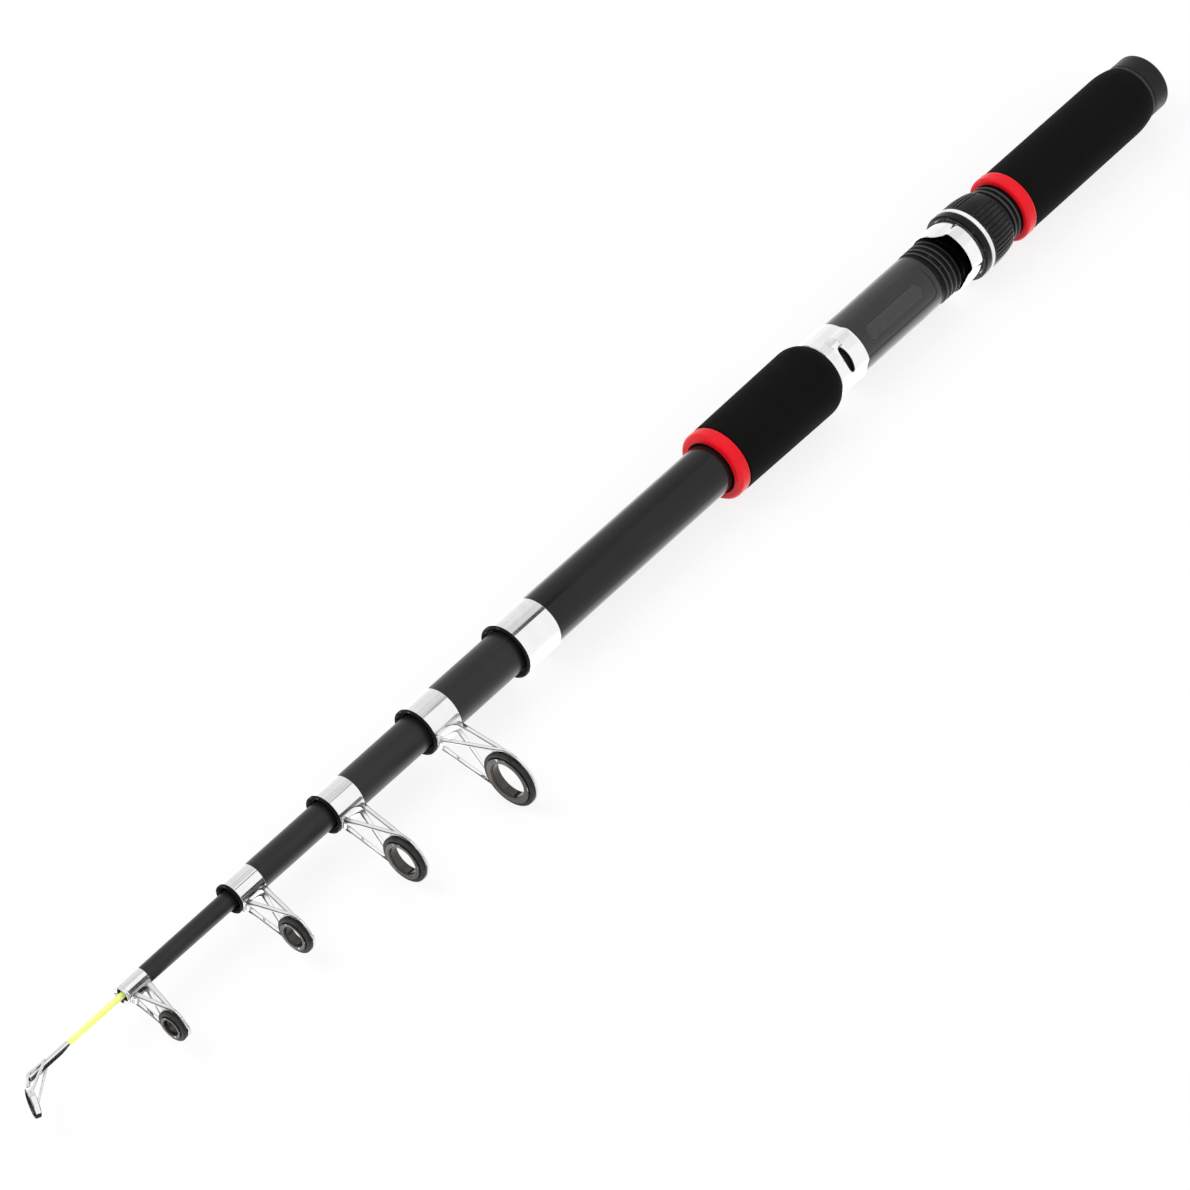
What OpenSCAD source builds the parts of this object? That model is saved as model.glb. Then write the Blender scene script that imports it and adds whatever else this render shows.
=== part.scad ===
// Telescopic spinning rod of six sections, lying on a table with every section drawn out a little.
// X runs along the rod's axis from the butt to the tip, and Z is up. The origin is on the axis, at the middle
// of the rear grip's straight stretch.

/* [Butt cap] */
// Length of the cap's knob behind the rear grip
cap_len = 9.2; // [7:0.1:16]
// Outside diameter of the cap's knob
cap_od = 24.4; // [22:0.2:26]
// Rounding of the knob's rear edge
cap_round = 3.5; // [1:0.25:5]
// Length of the cap's threaded spigot
spigot_len = 13; // [10:0.5:18]
// Crest diameter of the cap's thread
cap_thread_od = 13.6; // [11:0.2:14.4]
// Pitch of the cap's thread
cap_pitch = 2; // [1.6:0.1:2.6]
// Thickness of the rubber pad on the end of the spigot
pad_t = 3; // [1.5:0.25:5]
// Thickness of the threaded bush's flange
bush_flange_t = 1.6; // [0.8:0.1:2.4]

/* [Handle tube] */
// Outside diameter of the handle tube
blank_od = 20.2; // [19.8:0.1:20.6]
// Wall of the handle tube at its front end
blank_wall = 1.35; // [1.15:0.05:1.5]
// Length of bare handle tube between the front trim ring and the ferrule
blank_show = 97.6; // [70:0.1:150]

/* [Grips] */
// Length of the rear foam grip
rear_grip_len = 78.9; // [60:0.1:120]
// Diameter of the rear grip along its straight stretch
rear_grip_od = 27.6; // [25:0.1:30]
// Diameter of the rear grip at its butt end
rear_grip_end_od = 25; // [23:0.1:27]
// Length over which the rear grip narrows to its butt end
rear_grip_nose = 9.3; // [5:0.1:20]
// Length of the foregrip
foregrip_len = 56.7; // [40:0.1:90]
// Diameter of the foregrip at its swelling behind the front ring
foregrip_od = 29.6; // [27:0.1:32]
// Diameter of the foregrip at its front end
foregrip_front_od = 28.4; // [26:0.1:31]
// Length over which the foregrip swells from the fixed hood
foregrip_nose = 7; // [4:0.25:14]
// Thickness of each trim ring along the rod
trim_t = 5.7; // [3.8:0.1:8]
// Outside diameter of the rear trim ring
rear_trim_od = 28.3; // [27.6:0.1:31]
// Outside diameter of the front trim ring
front_trim_od = 28.3; // [27:0.1:31]
// Rounding of the trim rings' front edges
trim_round = 2; // [0.8:0.1:2]
// Rounding of the trim rings' back edges
trim_back_round = 1; // [0.5:0.1:1.4]
// Height above the handle tube of the foam step that carries the rear trim ring
rear_trim_step = 1.4; // [0.8:0.1:1.8]
// Height of the foam step that carries the front trim ring
front_trim_step = 0.6; // [0.4:0.1:1.6]

/* [Reel seat] */
// Outside diameter of the reel seat's barrel
seat_od = 23.1; // [22.8:0.1:23.8]
// Length of the ridged collar at the back of the reel seat
collar_len = 6.9; // [6:0.1:12]
// Height of the collar's ridges above the thread's root
collar_rise = 0.8; // [0.5:0.05:0.9]
// Length of the threaded stretch of the reel seat
thread_len = 44.6; // [38:0.1:60]
// Height of the reel seat's thread above its root
thread_depth = 0.65; // [0.4:0.05:0.8]
// Height of the thread's crest above the barrel
thread_rise = 0.2; // [0.1:0.05:0.4]
// Pitch of the reel seat's thread
thread_pitch = 2.6; // [2.4:0.1:3.4]
// Length of bare barrel between the thread and the fixed hood
barrel_show = 46.9; // [38:0.1:70]
// Length of the raised pad that carries the reel's foot
pad_len = 32.5; // [20:0.5:34]
// Width of the raised pad
pad_w = 6; // [4:0.25:8]
// Height of the pad's flat face above the rod's axis
pad_h = 11.9; // [11.75:0.05:12.3]
// Depth of the shallow panel around the pad
panel_depth = 0.25; // [0.1:0.05:0.4]
// Turn of the reel's side about the rod, from straight up towards the guides
reel_turn = 40; // [0:1:90]

/* [Hoods and nut] */
// Length of the fixed hood
fixed_hood_len = 14.9; // [12.5:0.1:24]
// Thickness of the hoods' metal
hood_wall = 0.6; // [0.4:0.05:0.8]
// Height of the pocket's roof above the barrel, inside
pocket_h = 1.6; // [1.3:0.1:2.4]
// Half angle that each pocket spans about the rod
pocket_half = 39; // [25:1:50]
// Length of the fixed hood's pocket
fixed_pocket_len = 6.8; // [5:0.1:7]
// Width along the rod of the window at the end of the fixed pocket
window_len = 2.4; // [1:0.1:3]
// Length of the sliding hood's band in front of the nut
hood_show = 11.3; // [9:0.1:16]
// Length of the sliding hood's pocket in front of the nut
slide_pocket_len = 7.2; // [5.5:0.1:8.5]
// Length of the locking nut
nut_len = 19.8; // [18:0.1:26]
// Wall of the nut round the sliding hood's flange
nut_lip_wall = 0.85; // [0.5:0.05:1.5]
// Wall of the nut's rear end round the thread
nut_rear_wall = 0.95; // [0.9:0.05:1.4]
// Length over which the nut swells from its rear end
nut_dome = 10; // [6:0.5:11.5]
// Number of steps from rib to rib round the nut
nut_ribs = 45; // [36:3:48]
// Length of the nut's front lip
nut_lip_len = 3.8; // [3.2:0.1:6]
// Width of the pale trim ring on the nut
nut_trim_w = 1.9; // [1:0.1:3]
// Length of the threaded stretch inside the nut
nut_thread_len = 9.5; // [7:0.1:11]

/* [Sections] */
// How much the second section narrows along its length, in diameter
tube_2_drop = 0.2; // [0.1:0.05:0.5]
// How much the third section narrows
tube_3_drop = 1.2; // [0.4:0.1:1.6]
// How much the fourth section narrows
tube_4_drop = 1.2; // [0.4:0.1:1.6]
// How much the fifth section narrows
tube_5_drop = 2.4; // [1.2:0.1:2.6]
// How much the solid tip narrows
tip_drop = 2.4; // [1.6:0.1:2.6]
// Wall of the second section at its front end
tube_2_wall = 1.05; // [0.85:0.05:1.15]
// Wall of the third section at its front end
tube_3_wall = 0.9; // [0.75:0.05:1]
// Wall of the fourth section at its front end
tube_4_wall = 0.85; // [0.7:0.05:0.95]
// Wall of the fifth section at its front end
tube_5_wall = 0.95; // [0.75:0.05:1.05]
// Length of the second section standing out of the handle as it lies
tube_2_show = 48.1; // [20:0.1:200]
// Length of the third section standing out
tube_3_show = 47.9; // [20:0.1:200]
// Length of the fourth section standing out
tube_4_show = 47.5; // [20:0.1:200]
// Length of the fifth section standing out
tube_5_show = 52.6; // [20:0.1:200]
// Length of the tip standing out, up to the end of the tip ring's tube
tip_show = 45; // [36:0.1:200]
// Length of the jammed cone at each joint when the rod is fully drawn
lap = 30; // [20:1:40]
// How fast that cone widens, in diameter for each millimetre of length
lap_taper = 0.012; // [0.008:0.001:0.014]

/* [Ferrules] */
// Thickness of the ferrules' chromed sleeves
sleeve_wall = 0.35; // [0.3:0.05:0.6]
// Length of the handle's sleeve
sleeve_1_len = 17.1; // [12:0.1:22]
// Length of the second section's sleeve
sleeve_2_len = 12.9; // [10:0.1:18]
// Length of the third section's sleeve
sleeve_3_len = 12; // [9:0.1:16]
// Length of the fourth section's sleeve
sleeve_4_len = 11.3; // [9:0.1:16]
// Length of the fifth section's sleeve
sleeve_5_len = 9.5; // [7.5:0.1:14]
// Thickness along the rod of the lip ring at each mouth
lip_t = 1.2; // [1:0.1:2]
// How far the larger lips stand out past their sleeves
lip_proud = 0.4; // [0.2:0.05:0.8]
// How far the two smallest lips stand out past their sleeves
small_lip_proud = 0.05; // [0.05:0.05:0.5]

/* [Guides] */
// Turn of the guides about the rod, from straight up
guide_turn = 95; // [60:0.2:110]
// Outside diameter of the second section's guide ring
ring_2_od = 22.2; // [18:0.1:26]
// Outside diameter of the third section's guide ring
ring_3_od = 18.5; // [15:0.1:22]
// Outside diameter of the fourth section's guide ring
ring_4_od = 14.5; // [12:0.1:17]
// Outside diameter of the fifth section's guide ring
ring_5_od = 11.9; // [10.6:0.1:14]
// Bore of the second section's guide ring
ring_2_bore = 14; // [10:0.1:15.2]
// Bore of the third section's guide ring
ring_3_bore = 11.2; // [8:0.1:11.6]
// Bore of the fourth section's guide ring
ring_4_bore = 8; // [6:0.1:8.4]
// Bore of the fifth section's guide ring
ring_5_bore = 6.2; // [4.6:0.1:6.4]
// Height of the second section's ring centre above the rod's axis
ring_2_h = 36.9; // [30:0.1:48]
// Height of the third section's ring centre
ring_3_h = 32.5; // [26:0.1:42]
// Height of the fourth section's ring centre
ring_4_h = 26; // [20:0.1:34]
// Height of the fifth section's ring centre
ring_5_h = 20.6; // [16:0.1:28]
// Distance from the second section's mouth back to its ring
ring_2_set = 7.6; // [4:0.1:9]
// Distance from the third section's mouth back to its ring
ring_3_set = 5.6; // [3.4:0.1:7.5]
// Distance from the fourth section's mouth back to its ring
ring_4_set = 5; // [3.2:0.1:7]
// Distance from the fifth section's mouth back to its ring
ring_5_set = 3.5; // [2.8:0.1:6]
// Thickness of each guide's black shock ring, from its edge to the liner
shock_t = 1.7; // [1.3:0.05:1.9]
// Width of the strips of the guide frames
strip_w = 1.7; // [1.2:0.1:2.2]
// Thickness of the guide frames' sheet metal
sheet_t = 0.9; // [0.6:0.05:1.2]

/* [Tip ring] */
// Length of the tip ring's tube
tip_tube_len = 18.4; // [14:0.1:24]
// Wall of the tip ring's tube
tip_tube_wall = 0.32; // [0.25:0.01:0.5]
// Outside diameter of the tip ring's hoop
tip_ring_od = 10.4; // [9:0.1:12]
// Bore of the tip ring's liner
tip_ring_bore = 6.2; // [4.6:0.1:6.6]
// Distance from the tube's end to the ring's centre, along the ring's face
tip_ring_reach = 9.2; // [7.5:0.1:12]
// Distance that the ring stands in front of the tube's end
tip_ring_lead = 2.3; // [1:0.1:4]
// Forward lean of the tip ring
tip_ring_lean = 26; // [10:1:40]
// Turn of the tip ring about the rod, from straight up
tip_turn = 85; // [60:1:110]
// Thickness of the tip ring's wires
tip_wire = 1; // [0.7:0.05:1.3]

/* [Hidden] */
$fn = 72;

// Film of glue between pieces that are fixed together
glue = 0.03;
// Gap between flat faces that only meet when the rod is closed
face_gap = 0.3;
// Gap between round faces that pass each other without guiding
slide_gap = 0.3;
// Radial play left in a jammed cone
lap_play = 0.05;
// How much longer the cone in each mouth is than the cone that jams in it
cone_spare = 15;
// Gap between a thread and its partner, along and across
thread_gap = 0.3;
// Facets in one turn of a thread
thread_steps = 20;
// Small overlap that makes a cut run clear of a face
eps = 0.5;

// Stations along the rod
x_butt = -(cap_len + face_gap + bush_flange_t + (rear_grip_nose + rear_grip_len) / 2);
x_cap = x_butt + cap_len;
x_flange = x_cap + face_gap;
x_grip = x_flange + bush_flange_t;
x_rear_trim = x_grip + rear_grip_len;
x_seat = x_rear_trim + trim_t;
x_thread = x_seat + collar_len;
x_barrel = x_thread + thread_len;
x_hood = x_barrel + barrel_show;
x_foregrip = x_hood + fixed_hood_len;
x_front_trim = x_foregrip + foregrip_len;
x_bare = x_front_trim + trim_t;
x_mouth = x_bare + blank_show + sleeve_1_len;

// Sections are counted from 1, the handle tube, to 6, the solid tip
drop = [0, 0, tube_2_drop, tube_3_drop, tube_4_drop, tube_5_drop, tip_drop];
wall = [0, blank_wall, tube_2_wall, tube_3_wall, tube_4_wall, tube_5_wall];
show = [0, 0, tube_2_show, tube_3_show, tube_4_show, tube_5_show, tip_show];
sleeve = [0, sleeve_1_len, sleeve_2_len, sleeve_3_len, sleeve_4_len, sleeve_5_len];
proud = [0, lip_proud, lip_proud, lip_proud, small_lip_proud, small_lip_proud];
ring_od = [0, 0, ring_2_od, ring_3_od, ring_4_od, ring_5_od];
ring_bore = [0, 0, ring_2_bore, ring_3_bore, ring_4_bore, ring_5_bore];
ring_h = [0, 0, ring_2_h, ring_3_h, ring_4_h, ring_5_h];
ring_set = [0, 0, ring_2_set, ring_3_set, ring_4_set, ring_5_set];

// Radius of a section behind its jamming cone, at its front end, and of its bore there
function start_r(k) = bore_r(k - 1) - lap_play;
function front_r(k) = k == 1 ? blank_od / 2 : start_r(k) - drop[k] / 2;
function bore_r(k) = front_r(k) - wall[k];
// Half the rise in diameter along a stretch of the jamming cone
function cone(len) = lap_taper * len / 2;
// Station of a section's front end
function front_x(k) = k == 1 ? x_mouth : front_x(k - 1) + show[k];
function sleeve_r(k) = front_r(k) + glue + sleeve_wall;
bore_cone = lap + cone_spare;

// Pad on the cap's spigot, and the length of a drawn section that closes just short of it
x_pad = x_cap + spigot_len + face_gap;
pad_room = 2.5;
section_len = x_mouth + sleeve[2] + lip_t + face_gap - x_pad - pad_t - pad_room;

// Points of an arc about a centre, from one angle to another
function arc(c, r, from, to, n = 8) = [for (i = [0:n]) let (a = from + (to - from) * i / n)
    [c.x + r * cos(a), c.y + r * sin(a)]];

// Turns a profile of [radius, station] points about the rod
module turned(points) rotate([0, 90, 0]) rotate_extrude() polygon(points);

// The same over a half angle to each side of +Z
module turned_part(points, half)
    rotate([0, 90, 0]) rotate([0, 0, 180 - half]) rotate_extrude(angle = 2 * half) polygon(points);

// Sleeve between two radii and two stations
module sleeve_ring(inner, outer, from, to) turned([[inner, from], [outer, from], [outer, to], [inner, to]]);
module sleeve_part(inner, outer, from, to, half)
    turned_part([[inner, from], [outer, from], [outer, to], [inner, to]], half);

// Ring with its outer edges rounded, by one radius at the back and another at the front
module round_ring(inner, outer, from, to, back, front) turned(concat([[inner, from]],
    arc([outer - back, from + back], back, -90, 0), arc([outer - front, to - front], front, 0, 90), [[inner, to]]));

// Turns +Z about the rod towards +Y
module facing(turn) rotate([-turn, 0, 0]) children();

// One section through a thread's ridge at an angle, given its root, crest and half widths
function ridge_section(a, root, crest, lead, half_root, half_crest) = let (x = lead * a / 360) [
    [x - half_root, root * sin(a), -root * cos(a)],
    [x - half_crest, crest * sin(a), -crest * cos(a)],
    [x + half_crest, crest * sin(a), -crest * cos(a)],
    [x + half_root, root * sin(a), -root * cos(a)]];

// Helical ridge along X, from one turn to another
module ridge(root, crest, lead, half_root, half_crest, first, last) {
    n = (last - first) * thread_steps;
    points = [for (i = [0:n])
        each ridge_section(360 * (first + i / thread_steps), root, crest, lead, half_root, half_crest)];
    sides = [for (i = [0:n - 1], j = [0:3]) let (a = 4 * i + j, b = 4 * i + (j + 1) % 4)
        each [[a, b, b + 4], [a, b + 4, a + 4]]];
    near_end = [[3, 2, 1], [3, 1, 0]];
    far_end = [[4 * n, 4 * n + 1, 4 * n + 2], [4 * n, 4 * n + 2, 4 * n + 3]];
    polyhedron(points, concat(sides, near_end, far_end), convexity = 20);
}

// Threads: half widths of a ridge at its foot and crest, as shares of the pitch
ridge_foot = 0.3;
ridge_crest = 0.12;
// How far a ridge's foot sinks into its core
ridge_sink = 0.4;
seat_r = seat_od / 2;
thread_r = seat_r + thread_rise;
thread_root_r = thread_r - thread_depth;
thread_start = thread_pitch / 2;
seat_turns = floor((thread_len - thread_pitch) / thread_pitch);

// Threaded bush glued into the butt end of the handle tube
cap_thread_depth = 0.6;
cap_thread_r = cap_thread_od / 2;
spigot_r = cap_thread_r - cap_thread_depth;
x_cap_thread = x_cap + cap_pitch;
cap_turns = floor((spigot_len - 2 * cap_pitch) / cap_pitch);
blank_rear_r = bore_r(1) + cone(bore_cone);
bush_len = spigot_len;

module butt_blank() color("#1b1b1d") turned([
    [blank_rear_r, x_grip], [front_r(1), x_grip], [front_r(1), x_mouth],
    [bore_r(1), x_mouth], [blank_rear_r, x_mouth - bore_cone]]);

module cap_bush() color("#8a8c90") difference() {
    union() {
        sleeve_ring(spigot_r + thread_gap, rear_grip_end_od / 2 - face_gap, x_flange, x_grip);
        sleeve_ring(spigot_r + thread_gap, blank_rear_r - glue, x_flange, x_flange + bush_len);
    }
    translate([x_cap_thread, 0, 0]) ridge(spigot_r - ridge_sink, cap_thread_r + thread_gap, cap_pitch,
        cap_pitch * ridge_foot + thread_gap, cap_pitch * ridge_crest + thread_gap,
        -2, ceil(bush_len / cap_pitch));
}

// Screw cap with its rubber pad
pad_stem_r = 3;
pad_stem_len = 4;

module butt_cap() color("#202124") difference() {
    union() {
        turned(concat([[0, x_butt]], arc([cap_od / 2 - cap_round, x_butt + cap_round], cap_round, -90, 0),
            [[cap_od / 2, x_cap], [0, x_cap]]));
        sleeve_ring(0, spigot_r, x_cap - eps, x_cap + spigot_len);
        translate([x_cap_thread, 0, 0]) ridge(spigot_r - ridge_sink, cap_thread_r, cap_pitch,
            cap_pitch * ridge_foot, cap_pitch * ridge_crest, 0, cap_turns);
    }
    sleeve_ring(0, pad_stem_r + slide_gap, x_cap + spigot_len - pad_stem_len, x_cap + spigot_len + eps);
}

module cap_pad() color("#3a3a3a") union() {
    sleeve_ring(0, spigot_r - face_gap, x_pad, x_pad + pad_t);
    sleeve_ring(0, pad_stem_r, x_cap + spigot_len - pad_stem_len + face_gap, x_pad + eps);
}

// Foam grips, each with a step at its front end that carries its trim ring
grip_bore_r = blank_od / 2 + glue;
rear_step_r = grip_bore_r + rear_trim_step;
front_step_r = grip_bore_r + front_trim_step;
step_len = trim_t - face_gap;
foregrip_end_r = seat_r + glue + hood_wall;

// Nose of a grip: an arc that starts at one radius and runs level into a larger one
function nose(from_r, to_r, x, len) = let (
    round = (len ^ 2 + (to_r - from_r) ^ 2) / (2 * (to_r - from_r))
) arc([to_r - round, x + len], round, -asin(len / round), 0, 12);

module rear_grip() color("#161616") turned(concat([[grip_bore_r, x_grip]],
    nose(rear_grip_end_od / 2, rear_grip_od / 2, x_grip, rear_grip_nose),
    [[rear_grip_od / 2, x_rear_trim], [rear_step_r, x_rear_trim], [rear_step_r, x_rear_trim + step_len],
        [grip_bore_r, x_rear_trim + step_len]]));

module foregrip() color("#161616") turned(concat([[grip_bore_r, x_foregrip]],
    nose(foregrip_end_r, foregrip_od / 2, x_foregrip, foregrip_nose),
    [[foregrip_front_od / 2, x_front_trim], [front_step_r, x_front_trim], [front_step_r, x_front_trim + step_len],
        [grip_bore_r, x_front_trim + step_len]]));

module rear_trim_ring() color("#e01f2d")
    round_ring(rear_step_r + glue, rear_trim_od / 2, x_rear_trim, x_seat, trim_back_round, trim_round);
module front_trim_ring() color("#e01f2d")
    round_ring(front_step_r + glue, front_trim_od / 2, x_front_trim, x_bare, trim_back_round, trim_round);

// Reel seat: ridged collar, thread, barrel with a shallow panel, and the pad for the reel's foot
collar_ridges = 2;
collar_ridge_w = 1.3;
// Share of the collar's length in front of each ridge's middle, for the first ridge and each further one
collar_first = 0.32;
collar_step = 0.355;
panel_w = 14.8;
panel_lead = 2.5;
panel_corner = 3;
pad_sink = 0.4;
pad_end_gap = (barrel_show - panel_lead - pad_len) / 2;

module reel_seat() color("#2a2b2f") union() {
    difference() {
        union() {
            sleeve_ring(0, thread_root_r, x_seat, x_foregrip);
            sleeve_ring(0, seat_r, x_barrel, x_foregrip);
            for (i = [0:collar_ridges - 1]) let (x = x_seat + collar_len * (collar_first + i * collar_step))
                sleeve_ring(0, thread_root_r + collar_rise, x - collar_ridge_w / 2, x + collar_ridge_w / 2);
            translate([x_thread + thread_start, 0, 0]) ridge(thread_root_r - ridge_sink, thread_r, thread_pitch,
                thread_pitch * ridge_foot, thread_pitch * ridge_crest, 0, seat_turns);
        }
        sleeve_ring(0, grip_bore_r, x_seat - eps, x_foregrip + eps);
        facing(reel_turn) panel_cut();
    }
    facing(reel_turn) reel_pad();
}

// Flat strip with round ends, lying on the barrel
module reel_pad() let (x = x_barrel + panel_lead + pad_end_gap, base = seat_r - panel_depth - pad_sink)
    translate([0, 0, base]) linear_extrude(pad_h - base) union() {
        translate([x + pad_w / 2, -pad_w / 2]) square([pad_len - pad_w, pad_w]);
        translate([x + pad_w / 2, 0]) circle(d = pad_w);
        translate([x + pad_len - pad_w / 2, 0]) circle(d = pad_w);
    }

// Shallow panel round the pad, with two round corners at its rear end
module panel_cut() let (x = x_barrel + panel_lead, side = panel_w / 2 - panel_corner) intersection() {
    sleeve_ring(seat_r - panel_depth, seat_r + eps, x - eps, x_hood + 1);
    translate([0, 0, seat_r / 2]) linear_extrude(seat_r) union() {
        translate([x + panel_corner, -panel_w / 2]) square([barrel_show, panel_w]);
        translate([x, -side]) square([barrel_show, 2 * side]);
        for (y = [-side, side]) translate([x + panel_corner, y]) circle(r = panel_corner);
    }
}

// Hoods: a band round the seat with a raised pocket for one end of the reel's foot
fixed_in = seat_r + glue;
fixed_out = fixed_in + hood_wall;
pocket_in = seat_r + pocket_h;
pocket_out = pocket_in + hood_wall;
window_half = 24;

module fixed_hood() color("#d8dadc") difference() {
    union() {
        sleeve_ring(fixed_in, fixed_out, x_hood, x_foregrip);
        facing(reel_turn) sleeve_part(fixed_in, pocket_out, x_hood,
            x_hood + fixed_pocket_len + hood_wall, pocket_half);
    }
    facing(reel_turn) {
        sleeve_part(fixed_in - eps, pocket_in, x_hood - eps, x_hood + fixed_pocket_len, pocket_half - 3);
        sleeve_part(fixed_in - eps, pocket_out + eps, x_hood + fixed_pocket_len + 2 * hood_wall,
            x_hood + fixed_pocket_len + 2 * hood_wall + window_len, window_half);
    }
}

// The nut traps the flange at the back of the sliding hood
nut_gap = 0.5;
x_nut = x_thread + nut_gap;
x_nut_front = x_nut + nut_len;
nut_keep = 1.2;
flange_t = 0.9;
x_flange_back = x_nut_front - nut_keep - face_gap - flange_t;
slide_in = thread_r + slide_gap;
slide_out = slide_in + hood_wall;
flange_r = slide_out + 0.6;
nut_r = flange_r + slide_gap + nut_lip_wall;
nut_rear_r = thread_r + thread_gap + nut_rear_wall;

module sliding_hood() color("#d8dadc") union() {
    sleeve_ring(slide_in, flange_r, x_flange_back, x_flange_back + flange_t);
    difference() {
        sleeve_ring(slide_in, slide_out, x_flange_back, x_nut_front + hood_show);
        facing(reel_turn) sleeve_part(slide_in - eps, slide_out + eps, x_nut_front + face_gap + hood_wall,
            x_nut_front + hood_show + eps, pocket_half - 3);
    }
    facing(reel_turn) difference() {
        sleeve_part(slide_in, max(pocket_out, slide_out + hood_wall), x_nut_front + face_gap,
            x_nut_front + slide_pocket_len, pocket_half);
        sleeve_part(slide_in - eps, max(pocket_in, slide_out), x_nut_front + face_gap + hood_wall,
            x_nut_front + slide_pocket_len + eps, pocket_half - 3);
    }
}

// Ribbed locking nut with a groove for its pale trim ring
rib_depth = 0.45;
// Half angle of one groove between two ribs, as a share of the step from rib to rib
rib_groove = 0.2;
// The ribs stand in groups, and between two groups some grooves are left out
rib_groups = 3;
rib_plain = 3;
rib_turn = -14;
x_nut_trim = x_nut_front - nut_lip_len - nut_trim_w;
nut_mid_r = nut_r - 0.05;
nut_trim_in = nut_r - 0.7;
nut_chamfer = 0.8;
nut_relief_r = thread_r + thread_gap + 0.25;

module locking_nut() color("#232326") difference() {
    turned(concat([[0, x_nut]], nose(nut_rear_r, nut_mid_r, x_nut, nut_dome),
        [[nut_mid_r, x_nut_trim], [nut_trim_in, x_nut_trim], [nut_trim_in, x_nut_trim + nut_trim_w],
        [nut_r, x_nut_trim + nut_trim_w], [nut_r, x_nut_front - nut_chamfer],
        [nut_r - nut_chamfer, x_nut_front], [0, x_nut_front]]));
    sleeve_ring(0, thread_root_r + thread_gap, x_nut - eps, x_nut_front);
    sleeve_ring(0, nut_relief_r, x_nut + nut_thread_len, x_nut_front);
    sleeve_ring(0, flange_r + slide_gap, x_flange_back - face_gap, x_nut_front - nut_keep);
    sleeve_ring(0, slide_out + slide_gap, x_flange_back, x_nut_front + eps);
    translate([x_thread + thread_start, 0, 0]) ridge(thread_root_r - ridge_sink, thread_r + thread_gap,
        thread_pitch, thread_pitch * ridge_foot + thread_gap, thread_pitch * ridge_crest + thread_gap,
        -1, ceil((nut_gap + nut_thread_len) / thread_pitch));
    for (i = [0:nut_ribs - 1]) if (i % (nut_ribs / rib_groups) >= rib_plain)
        facing(rib_turn + 360 * i / nut_ribs) nut_rib_cut();
}

// One groove between two ribs, following the nut's swelling and shallower at the rear end
module nut_rib_cut() turned_part(concat([[nut_r + eps, x_nut - eps], [nut_rear_r - rib_depth / 2, x_nut - eps]],
    nose(nut_rear_r - rib_depth / 2, nut_mid_r - rib_depth, x_nut, nut_dome),
    [[nut_mid_r - rib_depth, x_nut_trim - 1], [nut_r + eps, x_nut_trim - 1]]), rib_groove * 360 / nut_ribs);

module nut_trim_ring() color("#eceded")
    sleeve_ring(nut_trim_in + glue, nut_r + 0.1, x_nut_trim + glue, x_nut_trim + nut_trim_w - glue);

// Drawn sections: a cone that jams in the mouth behind it, a slow taper, and a straight seat for the sleeve.
// The bore narrows at the mouth, and behind that it follows the outside's taper by a share
bore_follow = 0.5;
module section_tube(k) color("#26272a") let (
    back = front_x(k) - section_len,
    bore = bore_r(k) + cone(bore_cone)
) turned([[bore + bore_follow * drop[k] / 2, back], [start_r(k) + cone(lap), back], [start_r(k), back + lap],
    [front_r(k), front_x(k) - sleeve[k]], [front_r(k), front_x(k)], [bore_r(k), front_x(k)],
    [bore, front_x(k) - bore_cone]]);

module ferrule(k) color("#d4d6d8")
    sleeve_ring(front_r(k) + glue, sleeve_r(k), front_x(k) - sleeve[k], front_x(k));

// Lip ring across a mouth, with both edges of its front face eased
lip_ease = 0.3;
module lip(k) color("#131314") let (
    inner = start_r(k + 1) + slide_gap,
    outer = sleeve_r(k) + proud[k],
    x = front_x(k)
) turned([[inner, x], [outer - lip_ease, x], [outer, x + lip_ease], [outer, x + lip_t - lip_ease],
    [outer - lip_ease, x + lip_t], [inner + lip_ease, x + lip_t], [inner, x + lip_t - lip_ease]]);

// Guides: a saddle on the sleeve, two bent side plates with two strips each, and a hoop for the rings
hoop_t = 1.2;
hoop_lap = 0.9;
hoop_proud = 0.3;
saddle_t = 0.8;
saddle_half = 32;
foot_gap = 1.8;
boss_r = 0.9;
// Gap between a side plate and the shock ring that it stands beside
plate_gap = 0.1;
flange_front = 1.6;
liner_half = 2.1;
function ring_x(k) = front_x(k) + lip_t - ring_set[k];

module guide_frame(k) color("#d9dbdd") facing(guide_turn) union() {
    sleeve_part(sleeve_r(k) + glue, sleeve_r(k) + saddle_t, front_x(k) - sleeve[k] + 0.4, front_x(k) - 0.4,
        saddle_half);
    translate([front_x(k) - boss_r - 0.4, -foot_gap, sleeve_r(k) + saddle_t]) rotate([-90, 0, 0])
        cylinder(r = boss_r, h = 2 * foot_gap);
    translate([0, 0, ring_h[k]]) sleeve_ring(ring_od[k] / 2 - hoop_lap, ring_od[k] / 2 + hoop_proud,
        ring_x(k) - hoop_t, ring_x(k));
    for (side = [-1, 1]) side_plate(k, side);
}

// Side plate that runs from the saddle to a tangent of the hoop, as two strips that meet there
module side_plate(k, side) let (
    base_z = sleeve_r(k) + saddle_t / 2,
    touch_r = ring_od[k] / 2 + plate_gap + sheet_t / 2,
    far = norm([ring_h[k] - base_z, foot_gap]),
    splay = asin(touch_r / far) - atan2(foot_gap, ring_h[k] - base_z),
    length = sqrt(far ^ 2 - touch_r ^ 2),
    back = [front_x(k) - sleeve[k] + strip_w, 0],
    front = [front_x(k) - strip_w, 0],
    top = [ring_x(k) - hoop_t / 2, length]
) translate([0, side * foot_gap, base_z]) rotate([-side * splay, 0, 0]) rotate([90, 0, 0])
    linear_extrude(sheet_t, center = true) union() {
        strip(back, top);
        strip(front, top);
        translate(top) circle(d = 1.2 * strip_w);
    }

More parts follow.
